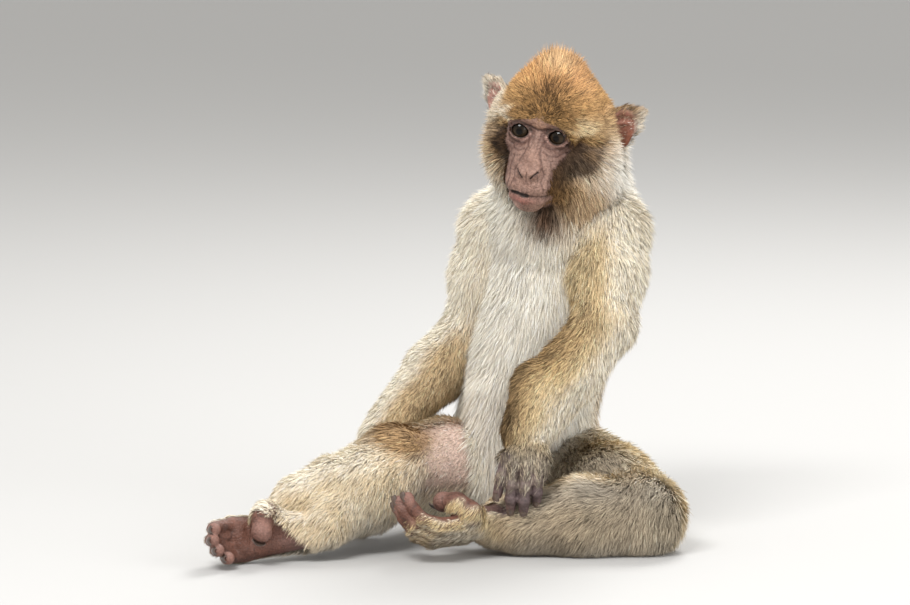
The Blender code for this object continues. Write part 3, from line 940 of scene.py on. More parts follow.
def head_coat(q):
    """Colour of the head's coat, with the share of dark hairs."""
    x, y, z = q.T
    across = np.abs(x)
    beyond = face_distance(q)
    ragged = 1 + 0.5 * noise(q * np.array([0.35, 0.35, 1.6]), 4, 15)[:, 0]
    brow = np.clip(spot(q, (0, -36, 20), (22, 14, 10)) + 0.9 * spot(q, (0, -30, 32), (9, 14, 12)), 0, 1)
    low = smooth(16, -2, z)
    colour = layered(
        GOLD,
        (ORANGE, smooth(22, 38, z) * smooth(30, 8, y) * 0.8),
        (SAND, 0.45 * spot(q, (-3, -4, 46), (10, 14, 11))),
        (UMBER, 0.45 * brow),
        (TAN, 0.5 * low),
        (SAND, 0.4 * low * smooth(18, 32, beyond)),
        (CREAM, 0.85 * smooth(30, 12, z) * smooth(46, 56, across + 0.2 * np.abs(z))),
        (CREAM, 0.6 * smooth(30, 14, z) * smooth(-28, -38, x)),
    )
    tick = 0.17 + 0.4 * brow
    for side, pale, narrower in ((-1, CREAM, 0.6), (1, SAND, 1)):
        here = (x * side > 0) * smooth(4, -8, y)
        width = np.interp(z, (-46, -38, -28, -20, -12, -5, 3), (1, 5, 9, 12, 13, 8, 1))
        width = np.maximum(width * ragged * narrower, 0.1)
        patch = smooth(1.5, 0.3, beyond / width) * here * smooth(5, -1, z)
        fringe = smooth(2.8, 1.0, beyond / (width + 3)) * here * smooth(9, 3, z)
        colour = layered(
            colour,
            (pale, 0.7 * (spot(q, (side * 27, -29, 10), (10, 12, 5.5)) * ragged)),
            (OCHRE, 0.75 * fringe),
            (UMBER, 0.95 * patch),
            (DARK, 0.4 * smooth(0.6, 1.0, patch)),
        )
        tick += 0.35 * fringe
    colour = layered(colour, (GOLD, 0.6 * throat(q)), (OCHRE, 0.45 * spot(q, (38, -18, -38), (14, 20, 14))))
    # Painted light: the middle of the crown made lighter, to lift the shade between its raised hairs.
    colour = colour * (1 + 0.6 * spot(q, (-7, -14, 31), (17, 18, 15)))[:, None]
    behind = smooth(8, 34, y - 0.4 * z)
    colour = layered(
        colour,
        (GREY * 0.9, 0.35 * smooth(42, 47, across + 0.2 * np.abs(z))),
        (OCHRE * 0.6, 0.85 * smooth(10, 16, z) * smooth(36, 42, x) * smooth(62, 54, x)),
        (OCHRE, 0.4 * spot(q, (46, -10, -19), (12, 16, 12))),
        (grizzled(q), 0.9 * behind),
    )
    return colour, tick + 0.1 * behind


def throat(q):
    """The golden brown fur below the left cheek and the chin."""
    return np.clip(1.6 * spot(q, (29, -20, -43), (22, 28, 16)), 0, 1)


def grizzled(points):
    """The yellow-brown and grey of the nape and back."""
    return mixed(TAN, GREY, 0.4 + 0.3 * noise(points, 30, 5)[:, 0])


def mantle(points):
    """The golden mantle over the throat and the front of the left shoulder."""
    return np.clip(spot(points, (40, -62, 240), (22, 40, 34)) * 1.2, 0, 1)


def neck_coat(points, normals):
    """Golden on the throat and its left side, cream beyond, and whiter as painted light where it faces its
    left.
    """
    gold, golden = mantle(points), throat(head_frame(points))
    back = smooth(0.3, 0.9, normals @ BACKWARD)
    colour = layered(
        CREAM,
        # Some white everywhere, and painted light: whiter still where the neck faces its left.
        (WHITE, 0.4 + 0.6 * smooth(0.3, 0.8, normals[:, 0])),
        (SAND, 0.3 * gold),
        (grizzled(points), back * 0.85),
        (GOLD, 0.75 * golden),
    )
    return colour, 0.03 + 0.06 * gold + 0.25 * back + 0.12 * golden


def trunk_coat(points, normals):
    """Pale on the chest and belly, grizzled yellow-brown and grey on the back."""
    turned = normals @ BACKWARD
    back, gold = smooth(-0.1, 0.6, turned), mantle(points)
    colour = layered(
        CREAM,
        (WHITE, 0.5),
        (MAUVE, 0.2 * smooth(0.2, 0.9, -turned) * smooth(170, 60, points[:, 2])),
        (SAND, 0.45 * gold),
        (grizzled(points), back * 0.85),
    )
    return colour, 0.02 + 0.06 * gold + 0.28 * back


def arm_coat(name, normals, t):
    """The left arm is sandy with a dark outer edge and pale beneath, the right one mostly cream."""
    if name.endswith("L"):
        return left_arm_coat(name, normals, t)
    outer = smooth(0.15, 0.75, -normals[:, 0] * 0.9 + normals[:, 2] * 0.4)
    lower = 0.0 if name == "upper_arm_R" else 1.0
    return mixed(CREAM, TAN, (0.15 + 0.65 * lower) * (1 - outer)), 0.03 + 0.12 * lower * (1 - outer)


def left_arm_coat(name, normals, t):
    a, b = LINES[name][0][:2]
    kind = kind_of(name)
    edge = np.cross(unit(b - a), np.array([0.25, 1, 0.2]))
    side = normals @ unit(edge if edge[0] < 0 else -edge)
    lower = {"upper_arm": 0.0, "forearm": 1.0, "hand": 0.8}[kind]
    dark = smooth(0.3, 0.9, side) * lower * (0.2 + 0.35 * t)
    if kind == "forearm":
        dark = dark + 0.3 * smooth(0.7, 1.0, t) * smooth(-0.4, 0.2, side)
    colour = layered(
        SAND,
        (TAN, 0.28 + 0.42 * lower * smooth(-0.2, 0.5, side)),
        (OCHRE, 0.2 * lower * smooth(0, 0.5, side)),
        (UMBER, dark),
        (CREAM, 0.9 * smooth(0.0, -0.6, side) * (0.3 if kind == "hand" else 1)),
    )
    tick = 0.12 + 0.1 * lower * smooth(-0.3, 0.5, side) + 0.25 * dark
    if kind == "hand":
        return mixed(colour, GREY * 0.8, 0.7 * smooth(0.0, 0.35, t)), tick + 0.2
    return colour, tick


def knee_patch(points):
    """The ochre patch inside the right knee."""
    return np.clip(1.8 * spot(points, (-93, -84, 87), (23, 34, 13)), 0, 1)


def leg_coat(name, points, normals, t):
    """Legs are cream along the top and below, sandy between, with an ochre patch inside the right knee;
    painted shade greys the undersides of shins and feet and the front of the left leg.
    """
    kind, right = kind_of(name), name.endswith("R")
    if kind == "thigh":
        colour = mixed(SAND, CREAM, 0.45 + 0.35 * noise(points, 25, 8)[:, 1])
        tick = np.full(len(points), 0.08)
        if right:
            bare, inner = bare_thigh(points, normals), knee_patch(points)
            colour = layered(colour, (THIGH_SKIN, 0.8 * bare), (KNEE, 0.9 * inner))
            tick = (tick + 0.2 * inner) * (1 - bare)
    else:
        top = smooth(0.35, 0.9, normals[:, 2])
        under = smooth(0.0, -0.8, normals[:, 2])
        colour = mixed(SAND, TAN, 0.3)
        if right:
            colour = mixed(colour, CREAM, 0.42 + 0.3 * noise(points, 22, 9)[:, 0])
        # Cream along the top and below; painted shade: greyer where it faces down.
        colour = layered(colour, (CREAM, 0.9 * np.maximum(top, under * 0.8)), (GREY, under * 0.55))
        if right:
            colour = mixed(colour, KNEE, 0.85 * knee_patch(points))
        tick = 0.1 * (1 - np.maximum(top, under * 0.6))
        if kind == "shin":
            colour = mixed(colour, GOLD, 0.2 * smooth(0.8, 1.0, t) * (1 - under))
    if not right:
        # Painted shadow: the left leg greyer and darker where it faces forwards.
        shade = smooth(0.0, 0.5, -normals[:, 1]) * (kind != "foot")
        colour = layered(colour, (TAN, 0.45 * smooth(0.5, -0.3, normals[:, 0])), (GREY * 0.7, 0.65 * shade))
    return colour, tick


def coat_colour(points, normals, share, along):
    """Colour of the coat and share of dark hairs, the same for the tufts and the skin below them."""
    colour = np.zeros_like(points)
    tick = np.zeros(len(points))
    for k, name in enumerate(PARTS):
        on = np.flatnonzero(share[:, k] > 0.01)
        p, n, t = points[on], normals[on], along[on, k]
        if name == "head":
            c, dark = head_coat(head_frame(p))
        elif name == "neck":
            c, dark = neck_coat(p, n)
        elif name == "trunk":
            c, dark = trunk_coat(p, n)
        elif "arm" in name or "hand" in name:
            c, dark = arm_coat(name, n, t)
        else:
            c, dark = leg_coat(name, p, n, t)
        colour[on] += share[on, k, None] * c
        tick[on] += share[on, k] * dark
    # Below the chin: dark brown hair and painted shade, in one mix.
    chin_hair_and_shade = np.clip(2.2 * spot(head_frame(points), (8, -38, -64), (15, 22, 11)), 0, 1)
    colour = colour / np.maximum(share.sum(1), 1e-6)[:, None]
    return mixed(colour, THROAT, 0.95 * chin_hair_and_shade), tick + 0.25 * chin_hair_and_shade


# ---- skin colour
FACE = linear(138, 109, 96)
FACE_PINK = linear(140, 108, 93)
# FACE_DARK is the face's darker tone, also laid on as painted shade.
FACE_DARK = linear(76, 50, 43)
FACE_BROWN = linear(130, 96, 74)
LID = linear(178, 140, 128)
LIP = linear(142, 88, 78)
EAR = linear(106, 54, 28)
EAR_PALE = linear(164, 126, 114)
PALM = linear(98, 64, 52)
HAND = linear(90, 75, 74)
TOE = linear(146, 110, 99)


def face_colour(q):
    """Pinkish brown and mottled, with pale lids and a red lip, and painted shade on the sides of the snout,
    round the eyes and in the creases; darker towards the edge of the bare face.
    """
    x, _, z = q.T
    mottle = 0.5 * noise(q, 2.0, 24)[:, 0] + 0.5 * noise(q, 7, 23)[:, 0]
    # Mottled tone, with painted shade on the sides of the snout; the next line darkens it towards the edge
    # of the bare face.
    shade = 0.17 + 0.6 * mottle + 0.35 * smooth(13, 22, np.abs(x)) * smooth(4, -8, z)
    shade += 0.5 * smooth(-4, 1, face_distance(q)) * smooth(-44, -36, z) * smooth(8, 2, z)
    colour = layered(
        FACE,
        (FACE_PINK, spot(q, (0, -54, -16), (9, 16, 12))),
        (FACE_PINK, 0.7 * spot(q, (-2, -56, -33), (14, 12, 6))),
        (FACE_BROWN, 0.7 * smooth(5, 8, z)),
        (FACE_DARK, np.clip(shade, 0, 0.8)),
    )
    for side in (-1, 1):
        out, back, up = eye_local(side, *(HEAD + q @ HEAD_TURN.T).T)
        rim = lens(out, up, EYE_HALF_WIDTH, EYE_RISE)
        front = smooth(0, -3, back) * (x * side > -2)
        # Painted shade in the hollow round each eye, below it and in the fold over the upper lid, beside the
        # pale rim and the dark edge of the lids.
        colour = layered(
            colour,
            (FACE_DARK, 0.6 * ring(rim, 3.8, 1.8) * front),
            (FACE_DARK, 0.3 * spot(q, (side * 17, -38, -8), (11, 14, 8))),
            (LID, 0.85 * ring(rim, 1.7, 0.8) * front * smooth(3, -2, up)),
            (DARK, 0.95 * ring(rim, 0.1, 0.7) * front),
            (DARK, 0.85 * ring(rim, 2.0, 1.3) * smooth(-1, 3, up) * front),
            (DARK, 0.7 * spot(q, (side * 26, -34, 1), (4.5, 8, 3))),
        )
    depth = pressed(q)
    return layered(
        colour,
        (LIP, 0.8 * spot(q, (-4, -56, -46.5), (10, 10, 3.2))),
        (LID, 0.6 * spot(q, (-7, -52, -53), (4, 10, 2.5))),
        (FACE_DARK, 0.5 * spot(q, (20, -40, -47), (7, 12, 8))),
        # Painted shade in the nostrils, the parted lips, the folds and the wrinkles, by their depth.
        (FACE_DARK, 0.7 * smooth(0.02, 0.5, depth)),
        (DARK, 0.9 * smooth(0.5, 1.3, depth)),
    )


def skin_colour(points, normals):
    """Bare face, ears, thigh, palms and soles, and a tone below the coat elsewhere."""
    share, along = part_shares(points)
    coat, _ = coat_colour(points, normals, share, along)
    colour = mixed(coat * 0.62, MAUVE, 0.3 * smooth(0.05, 0.3, coat[:, 1]))
    q = head_frame(points)
    face = face_skin(q) * (belongs(share, "head", "neck") > 0.3)
    on = np.flatnonzero(face > 0)
    colour[on] = mixed(colour[on], face_colour(q[on]), face[on])
    near, inside, _ = ear_zone(points, normals)
    ear = mixed(EAR_PALE, EAR, np.where(q[:, 0] > 0, 0.75 + 0.25 * smooth(8, -6, q[:, 2]), 0.25))
    knee = knee_patch(points)
    thigh = THIGH_SKIN * (1 + 0.12 * noise(points, 14, 36)[:, :1])
    colour = layered(
        colour,
        (ear * (1 + 0.2 * noise(points, 4, 31)[:, :1]), np.maximum(inside, near * 0.5)),
        (KNEE, 0.8 * knee),
        (thigh, bare_thigh(points, normals) * (1 - 0.75 * knee)),
    )
    feet = belongs(share, *FEET)
    ends = feet + belongs(share, *HANDS)
    bare = np.maximum(palm_zone(points, normals), smooth(0.3, 0.9, ends) * 0.75)
    return mixed(colour, limb_end_colour(points, feet), bare)


def limb_end_colour(points, feet):
    """Mottled grey-brown hands, and redder feet with creases and paler toe tips."""
    tone = mixed(HAND, PALM, feet)
    tone = tone * (1 + 0.3 * noise(points, 9, 33)[:, :1] + 0.15 * noise(points, 1.8, 34)[:, :1])
    for line, _, radius in DIGITS:
        tip = smooth(radius + 5, radius, np.linalg.norm(points - line[-1], axis=1))
        tone = mixed(tone, TOE, 0.5 * feet * tip)
    crease = np.abs(noise(points * np.array([0.45, 1, 1.5]), 9, 35)[:, 0])
    return tone * (1 - 0.45 * smooth(0.12, 0, crease) * feet)[:, None]


# ---- lie of the coat
def head_flow(q):
    """Up and out from the brow over the crown, back and down over the cheeks and nape."""
    x, y, z = q.T
    source = np.clip(z * 0.7, -34, 13)
    away = np.stack([x * 1.1, y + 40, z - source], 1)
    away[:, 2] -= 10 * smooth(4, -14, z)
    back = smooth(18, 38, y)
    flow = unit(away) * (1 - back)[:, None] + back[:, None] * np.array([0, 0.25, -1])
    return flow @ HEAD_TURN.T


def flow_of(points, normals, share):
    """The way the coat lies: down each limb and the body, out over the head and the ears."""
    flow = np.zeros_like(points)
    for k, name in enumerate(PARTS):
        weight = share[:, k, None]
        if name == "head":
            flow += weight * head_flow(head_frame(points))
        elif name == "neck":
            flow += weight * np.array([0.05, 0.2, -1])
        elif name == "trunk":
            away = normals * np.array([1, 1, 0])
            flow += weight * (np.array([0, 0, -1.0]) + 0.12 * away)
        else:
            a, b = LINES[name][0][:2]
            hanging = smooth(0.3, -0.5, normals[:, 2:]) * ("thigh" in name or "shin" in name)
            flow += weight * (unit(b - a) + np.array([0, 0, -0.3]) + hanging * np.array([0, 0, -1.0]))
    near = ear_zone(points, normals)[0]
    for side in (-1, 1):
        ear = ear_axes(side)
        q = (points - in_ear(side, 0, 0, 0)) @ ear
        here = near * (np.abs(q[:, 0]) < 25)
        fan = unit(np.stack([q[:, 0] + 16, 0 * q[:, 0] - 2, q[:, 2] + 8], 1)) @ ear.T
        flow = flow * (1 - here[:, None]) + fan * here[:, None]
    flow += 0.35 * noise(points, 26, 41) + 0.22 * noise(points, 8, 42)
    flow -= normals * (flow * normals).sum(1, keepdims=True)
    return unit(flow)


def local_coat(points, normals, share, along):
    """Length, rise, width and density of the coat at each point."""
    length, rise, width, density = coat_numbers(share, along)
    q = head_frame(points)
    x, y, z = q.T
    across = np.abs(x)
    head = belongs(share, "head")
    crown = smooth(16, 46, z) * smooth(-44, -12, y)
    temple = smooth(12, 30, across) * smooth(30, 0, z)
    cheek = smooth(24, 40, across) * smooth(8, -8, z)
    front = smooth(-18, -36, y) * smooth(4, 14, z)
    top = spot(q, (-7, 6, 42), (18, 22, 13))
    head_length = 9 + 4 * crown + 11 * top + 3 * temple + 8 * cheek - 3.5 * front
    head_rise = 5 + 3.5 * crown + 12 * top + 3 * temple + 9 * cheek - 2.5 * front
    head_rise += 4 * smooth(0, 30, y) * smooth(30, 10, z)
    edge = np.maximum(smooth(0, 9, face_distance(q)), smooth(-14, 0, y))
    length = length * (1 - head) + head * head_length * (0.4 + 0.6 * edge)
    rise = rise * (1 - head) + head * head_rise * (0.2 + 0.8 * edge)
    bare_face = smooth(1.2, -3.8, ragged_edge(q)) * smooth(-8, -16, y) * (head > 0.2)
    near, inside, rim = ear_zone(points, normals)
    length = length * (1 - near) + near * (4 + 4.5 * rim)
    rise = rise * (1 - near) + near * (0.8 + 2.2 * rim)
    width = width * (1 - near) + near * 0.3
    density = density * (1 - bare_face) * (1 - 0.62 * near) * (1 - (0.85 + 0.13 * smooth(14, 6, z)) * inside)
    density *= 1 - palm_zone(points, normals)
    density *= 1 - 0.35 * belongs(share, *HANDS, *FEET)
    knuckles = sum(share[:, k] * smooth(0.2, 0.6, along[:, k]) for k in map(PARTS.index, HANDS))
    density *= 1 - 0.88 * knuckles
    rise *= 1 - 0.5 * knuckles
    turned = normals @ BACKWARD
    belly = belongs(share, "trunk") * smooth(130, 90, points[:, 2]) * smooth(0.1, 0.7, -turned)
    length += 12 * belly
    rise += 4 * belly
    groin = bare_thigh(points, normals)
    density *= 1 - 0.9 * smooth(0.15, 0.95, groin)
    length *= 1 - 0.62 * groin
    rise *= 1 - 0.88 * groin
    seat = smooth(9, 4, points[:, 2]) * smooth(-0.3, -0.8, normals[:, 2])
    rise *= 1 - 0.8 * seat
    density *= 1 - 0.2 * smooth(0.2, 0.7, turned)
    width = width * (0.72 + 0.28 * edge * (head > 0.2) + 0.28 * (head <= 0.2))
    return length, rise, width, np.maximum(density, 0)


# ---- unwrap of the skin for the coat's map
def unwrapped(points, faces):
    """A map of part of the skin, as three corners for each face."""
    used, faces = np.unique(faces, return_inverse=True)
    obj = make_mesh("unwrap", points[used], faces.reshape(-1, 3))
    bpy.context.view_layer.objects.active = obj
    obj.select_set(True)
    bpy.ops.object.mode_set(mode="EDIT")
    bpy.ops.mesh.select_all(action="SELECT")
    bpy.ops.uv.smart_project(angle_limit=1.15, island_margin=0.004, scale_to_bounds=True)
    bpy.ops.object.mode_set(mode="OBJECT")
    uv = np.empty(len(obj.data.loops) * 2, np.float32)
    obj.data.uv_layers.active.data.foreach_get("uv", uv)
    bpy.data.meshes.remove(obj.data)
    return uv.reshape(-1, 3, 2)


def places_on_map(roots, points, faces, uv):
    """Each root's place on the unwrap, from the nearest face of the coarse skin."""
    middles = points[faces].mean(1)
    tree = KDTree(len(middles))
    for k, middle in enumerate(middles):
        tree.insert(middle, k)
    tree.balance()
    nearest = np.fromiter((tree.find(root)[1] for root in roots), int, len(roots))
    a, b, c = (points[faces[nearest, k]] for k in range(3))
    ab, ac, ap = b - a, c - a, roots - a
    d00, d01, d11 = (ab * ab).sum(1), (ab * ac).sum(1), (ac * ac).sum(1)
    d20, d21 = (ap * ab).sum(1), (ap * ac).sum(1)
    below = np.maximum(d00 * d11 - d01 * d01, 1e-9)
    v = np.clip((d11 * d20 - d01 * d21) / below, 0, 1)
    w = np.clip((d00 * d21 - d01 * d20) / below, 0, 1 - v)
    corners = uv[nearest]
    return corners[:, 0] * (1 - v - w)[:, None] + corners[:, 1] * v[:, None] + corners[:, 2] * w[:, None]


# ---- tufts
PATCH = 0.003  # width of a tuft on the coat's map
STRAGGLERS = 0.15  # share of the tufts that stand out of their lock
FLOOR_GAP = 0.15  # nothing of the coat is lower
NAIL_GAP = 0.3  # nothing of the nails is lower


def roots_on(points, faces, density):
    """Random places on the skin, so many to a square mm, as faces and their three weights."""
    area = np.linalg.norm(face_crosses(points, faces), axis=1) / 2
    count = np.floor(area * density + rng.random(len(faces))).astype(int)
    face = np.repeat(np.arange(len(faces)), count)
    u, v = rng.random((2, len(face)))
    over = u + v > 1
    u[over], v[over] = 1 - u[over], 1 - v[over]
    return face, np.stack([1 - u - v, u, v], 1)


def tuft_shapes(roots, normals, flow, length, rise, width, lock):
    """Four points of each tuft: its root, the two sides of its middle, and its tip."""
    centre, chance = lock
    count = len(roots)
    straggler = rng.random(count) < STRAGGLERS
    pull = np.where(straggler, 0.1, 0.2 + 0.4 * chance[:, 0])[:, None]
    length = length * (0.75 + 0.35 * rng.random(count)) * (0.85 + 0.3 * chance[:, 1])
    rise = rise * (0.7 + 0.35 * rng.random(count)) * np.where(straggler, 1.32, 1.0)
    run = np.sqrt(np.maximum(length**2 - rise**2, (0.35 * length) ** 2))
    across = np.cross(flow, normals)
    sway = (rng.normal(0, 0.13, count) * length)[:, None] * across
    to_lock = centre - roots
    to_lock -= normals * (to_lock * normals).sum(1, keepdims=True)
    to_lock -= flow * (to_lock * flow).sum(1, keepdims=True) * 0.7
    reach = np.linalg.norm(to_lock, axis=1, keepdims=True)
    to_lock *= np.minimum(1, 0.3 * length[:, None] / np.maximum(reach, 1e-6))
    middle = roots + flow * (run * 0.42)[:, None] + normals * (rise * 0.62)[:, None]
    tip = roots + flow * run[:, None] + normals * rise[:, None]
    middle += to_lock * pull * 0.45 + sway * 0.35
    tip += to_lock * pull + sway
    tip[:, 2] -= 0.06 * length
    twist = rng.uniform(-1.0, 1.0, count)
    blade = across * np.cos(twist)[:, None] + normals * np.sin(twist)[:, None]
    half = (width * (0.7 + 0.5 * rng.random(count)) / 2)[:, None] * blade
    base = roots - normals * 0.5
    shape = np.stack([base, middle - half, middle + half, tip], 1)
    flat = np.cross(half, tip - middle)
    flat *= np.sign((flat * normals).sum(1, keepdims=True) + 1e-9)
    shading = unit(0.75 * normals + 0.45 * unit(flat) + 0.12 * flow)
    return shape, shading


def tuft_colours(colour, tick, chance, points):
    """Root, middle and tip colours: darker middles and roots and slightly lighter tips as painted shade and
    light deep in the coat, with dark and pale hairs among them.
    """
    count = len(colour)
    depth = 0.25 + 0.75 * smooth(0.5, 0.15, colour[:, 2:])  # warm coats vary more than the white ones
    shade = 1 + depth * (0.25 * noise(points, 12, 51)[:, :1] + 0.5 * (chance[:, 2:] - 0.5))
    colour = colour * shade
    kind = rng.random(count)
    tick = np.clip(tick * (0.5 + chance[:, 1]), 0, 0.9)
    dark = (kind < tick)[:, None]
    pale = (kind > 0.92 - 0.07 * smooth(0.05, 0.2, colour[:, 1]))[:, None]
    tip = colour * np.clip(rng.normal(1, 0.17, (count, 1)), 0.5, 1.5)
    tip = np.where(dark, tip * 0.28 + DARK * 0.5, tip)
    tip = np.where(pale, tip * 0.4 + np.minimum(tip * 1.7, 0.85) * 0.6, tip)
    # Painted shade: middles and roots darker than the tips, as deep in the coat; the tips a little lighter.
    middle = tip * (0.92 - 0.12 * depth)
    root = tip * (0.72 - 0.22 * depth) + DARK * 0.1
    return np.clip(np.stack([root, middle, middle, tip * 1.06], 1), 0.004, 0.92)


GROUPS = {
    "crown": ("head",),
    "neck": ("neck",),
    "trunk": ("trunk",),
    "arm_L": ("upper_arm_L", "forearm_L", "hand_L"),
    "arm_R": ("upper_arm_R", "forearm_R", "hand_R"),
    "leg_L": ("thigh_L", "shin_L", "foot_L"),
    "leg_R": ("thigh_R", "shin_R", "foot_R"),
}
COAT_PIECES = {  # slot, and spacing of the locks
    "crown": ("gold_coat", 2.2),
    "cheeks": ("gold_coat", 2.4),
    "neck": ("pale_coat", 2.8),
    "chest": ("pale_coat", 2.3),
    "back": ("tan_coat", 4.0),
    "arm_L": ("tan_coat", 2.8),
    "arm_R": ("tan_coat", 2.8),
    "leg_L": ("tan_coat", 3.4),
    "leg_R": ("tan_coat", 3.4),
}
UNWRAPS = {}


def group_of(points):
    """The coat piece that each place belongs to, and its shares in the parts."""
    share, along = part_shares(points)
    best = np.array(PARTS)[share.argmax(1)]
    group = np.empty(len(points), object)
    for name, members in GROUPS.items():
        group[np.isin(best, members)] = name
    q = head_frame(points)
    group[(group == "crown") & (q[:, 2] + 0.35 * q[:, 1] < -3)] = "cheeks"
    behind = ((points - np.array([10, 6, 0])) @ BACKWARD) > 0
    on_trunk = group == "trunk"
    group[on_trunk & behind] = "back"
    group[on_trunk & ~behind] = "chest"
    return group, share, along


def unwrap_of(group):
    """The coarse skin, its faces below one coat piece, and their map."""
    if not UNWRAPS:
        points, faces = surface(SKIN_BOX[0] - (0, 0, 2), SKIN_BOX[1], MAP_STEP)
        UNWRAPS.update(points=points, faces=faces, groups=group_of(points[faces].mean(1))[0])
    faces = UNWRAPS["faces"][UNWRAPS["groups"] == group]
    return UNWRAPS["points"], faces, unwrapped(UNWRAPS["points"], faces)


def coat_piece(group, skin, material):
    """One piece of the coat: all tufts whose roots lie on one group of parts."""
    slot, lock_size = COAT_PIECES[group]
    points, faces, normals, groups, density = skin
    on = np.flatnonzero(groups == group)
    face, weights = roots_on(points, faces[on], density[on])
    corners, weights = faces[on[face]], weights[:, :, None]
    roots = (points[corners] * weights).sum(1)
    n = unit((normals[corners] * weights).sum(1))
    share, along = part_shares(roots)
    length, rise, width, _ = local_coat(roots, n, share, along)
    flow = flow_of(roots, n, share)
    colour, tick = coat_colour(roots, n, share, along)
    centre, chance = lock_centres(roots, lock_size)
    shape, shading = tuft_shapes(roots, n, flow, length, rise, width, (centre, chance))
    shape[:, :, 2] = np.maximum(shape[:, :, 2], FLOOR_GAP)
    triangles = np.arange(len(roots))[:, None] * 4 + np.array([0, 2, 1, 1, 2, 3])
    obj = make_mesh("coat_" + group, shape.reshape(-1, 3), triangles.reshape(-1, 3))
    add_colour(obj.data, "colour", tuft_colours(colour, tick, chance, roots).reshape(-1, 3))
    map_tufts(obj.data, places_on_map(roots, *unwrap_of(group)))
    obj.data.normals_split_custom_set_from_vertices(np.repeat(shading, 4, 0).tolist())
    dress(obj, material)


def map_tufts(mesh, place):
    """Gives each tuft a small patch of its own place on the coat's map."""
    corner = np.array([(0, -1), (1, 0), (-1, 0), (-1, 0), (1, 0), (0, 1)]) * PATCH / 2
    inner = np.clip(place, PATCH, 1 - PATCH)
    layer = mesh.uv_layers.new(name="OFBake")
    layer.data.foreach_set("uv", (inner[:, None] + corner).astype(np.float32).ravel())


# ---- materials
def dress(obj, material):
    """Gives a piece its material and the body it rides on."""
    obj.data.materials.append(material)
    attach(obj, "root")


def node(nodes, kind, **values):
    """A new shader node. A socket's name is written with _ for its spaces."""
    made = nodes.new("ShaderNode" + kind)
    for name, value in values.items():
        made.inputs[name.replace("_", " ")].default_value = value
    return made


def principled(name, roughness, specular=0.5):
    material = bpy.data.materials.new(name)
    material.use_nodes = True
    nodes, links = material.node_tree.nodes, material.node_tree.links
    shader = nodes["Principled BSDF"]
    shader.inputs["Roughness"].default_value = roughness
    shader.inputs["Specular IOR Level"].default_value = specular
    return material, nodes, links, shader


def painted(name, roughness, specular):
    """A material that shows the mesh's own colours, and its attribute node."""
    material, nodes, links, shader = principled(name, roughness, specular)
    colour = node(nodes, "Attribute")
    colour.attribute_name = "colour"
    links.new(colour.outputs["Color"], shader.inputs["Base Color"])
    return material, nodes, links, shader, colour


def skin_material():
    """The painted colour, broken by fine mottling, over a grain of pores and small creases."""
    material, nodes, links, shader, colour = painted("skin", 0.5, 0.35)
    place = node(nodes, "TexCoord").outputs["Object"]
    grain = node(nodes, "TexNoise", Scale=650, Detail=3)
    mottle = node(nodes, "MapRange", From_Min=0.3, From_Max=0.7, To_Min=0.72, To_Max=1.2)
    tint = node(nodes, "Mix")
    tint.data_type, tint.blend_type = "RGBA", "MULTIPLY"
    tint.inputs["Factor"].default_value = 1.0
    pores = node(nodes, "TexNoise", Scale=420, Detail=5)
    cracks = node(nodes, "TexVoronoi", Scale=480)
    cracks.feature = "DISTANCE_TO_EDGE"
    edge, height = node(nodes, "Math"), node(nodes, "Math")
    edge.operation = "MINIMUM"
    edge.inputs[1].default_value = 0.25
    bump = node(nodes, "Bump", Strength=0.7, Distance=0.0012)
    for start, end in (
        (place, grain.inputs["Vector"]),
        (grain.outputs["Fac"], mottle.inputs["Value"]),
        (colour.outputs["Color"], tint.inputs["A"]),
        (mottle.outputs["Result"], tint.inputs["B"]),
        (tint.outputs["Result"], shader.inputs["Base Color"]),
        (place, pores.inputs["Vector"]),
        (place, cracks.inputs["Vector"]),
        (cracks.outputs["Distance"], edge.inputs[0]),
        (pores.outputs["Fac"], height.inputs[0]),
        (edge.outputs[0], height.inputs[1]),
        (height.outputs[0], bump.inputs["Height"]),
        (bump.outputs["Normal"], shader.inputs["Normal"]),
    ):
        links.new(start, end)
    return material


def nail_material():
    material, nodes, links, shader = principled("nail", 0.32)
    grain = node(nodes, "TexNoise", Scale=500)
    ramp = node(nodes, "ValToRGB")
    for stop, colour in zip(ramp.color_ramp.elements, (linear(52, 42, 38), linear(108, 90, 80))):
        stop.color = (*colour, 1)
    links.new(node(nodes, "TexCoord").outputs["Object"], grain.inputs["Vector"])
    links.new(grain.outputs["Fac"], ramp.inputs["Fac"])
    links.new(ramp.outputs["Color"], shader.inputs["Base Color"])
    return material


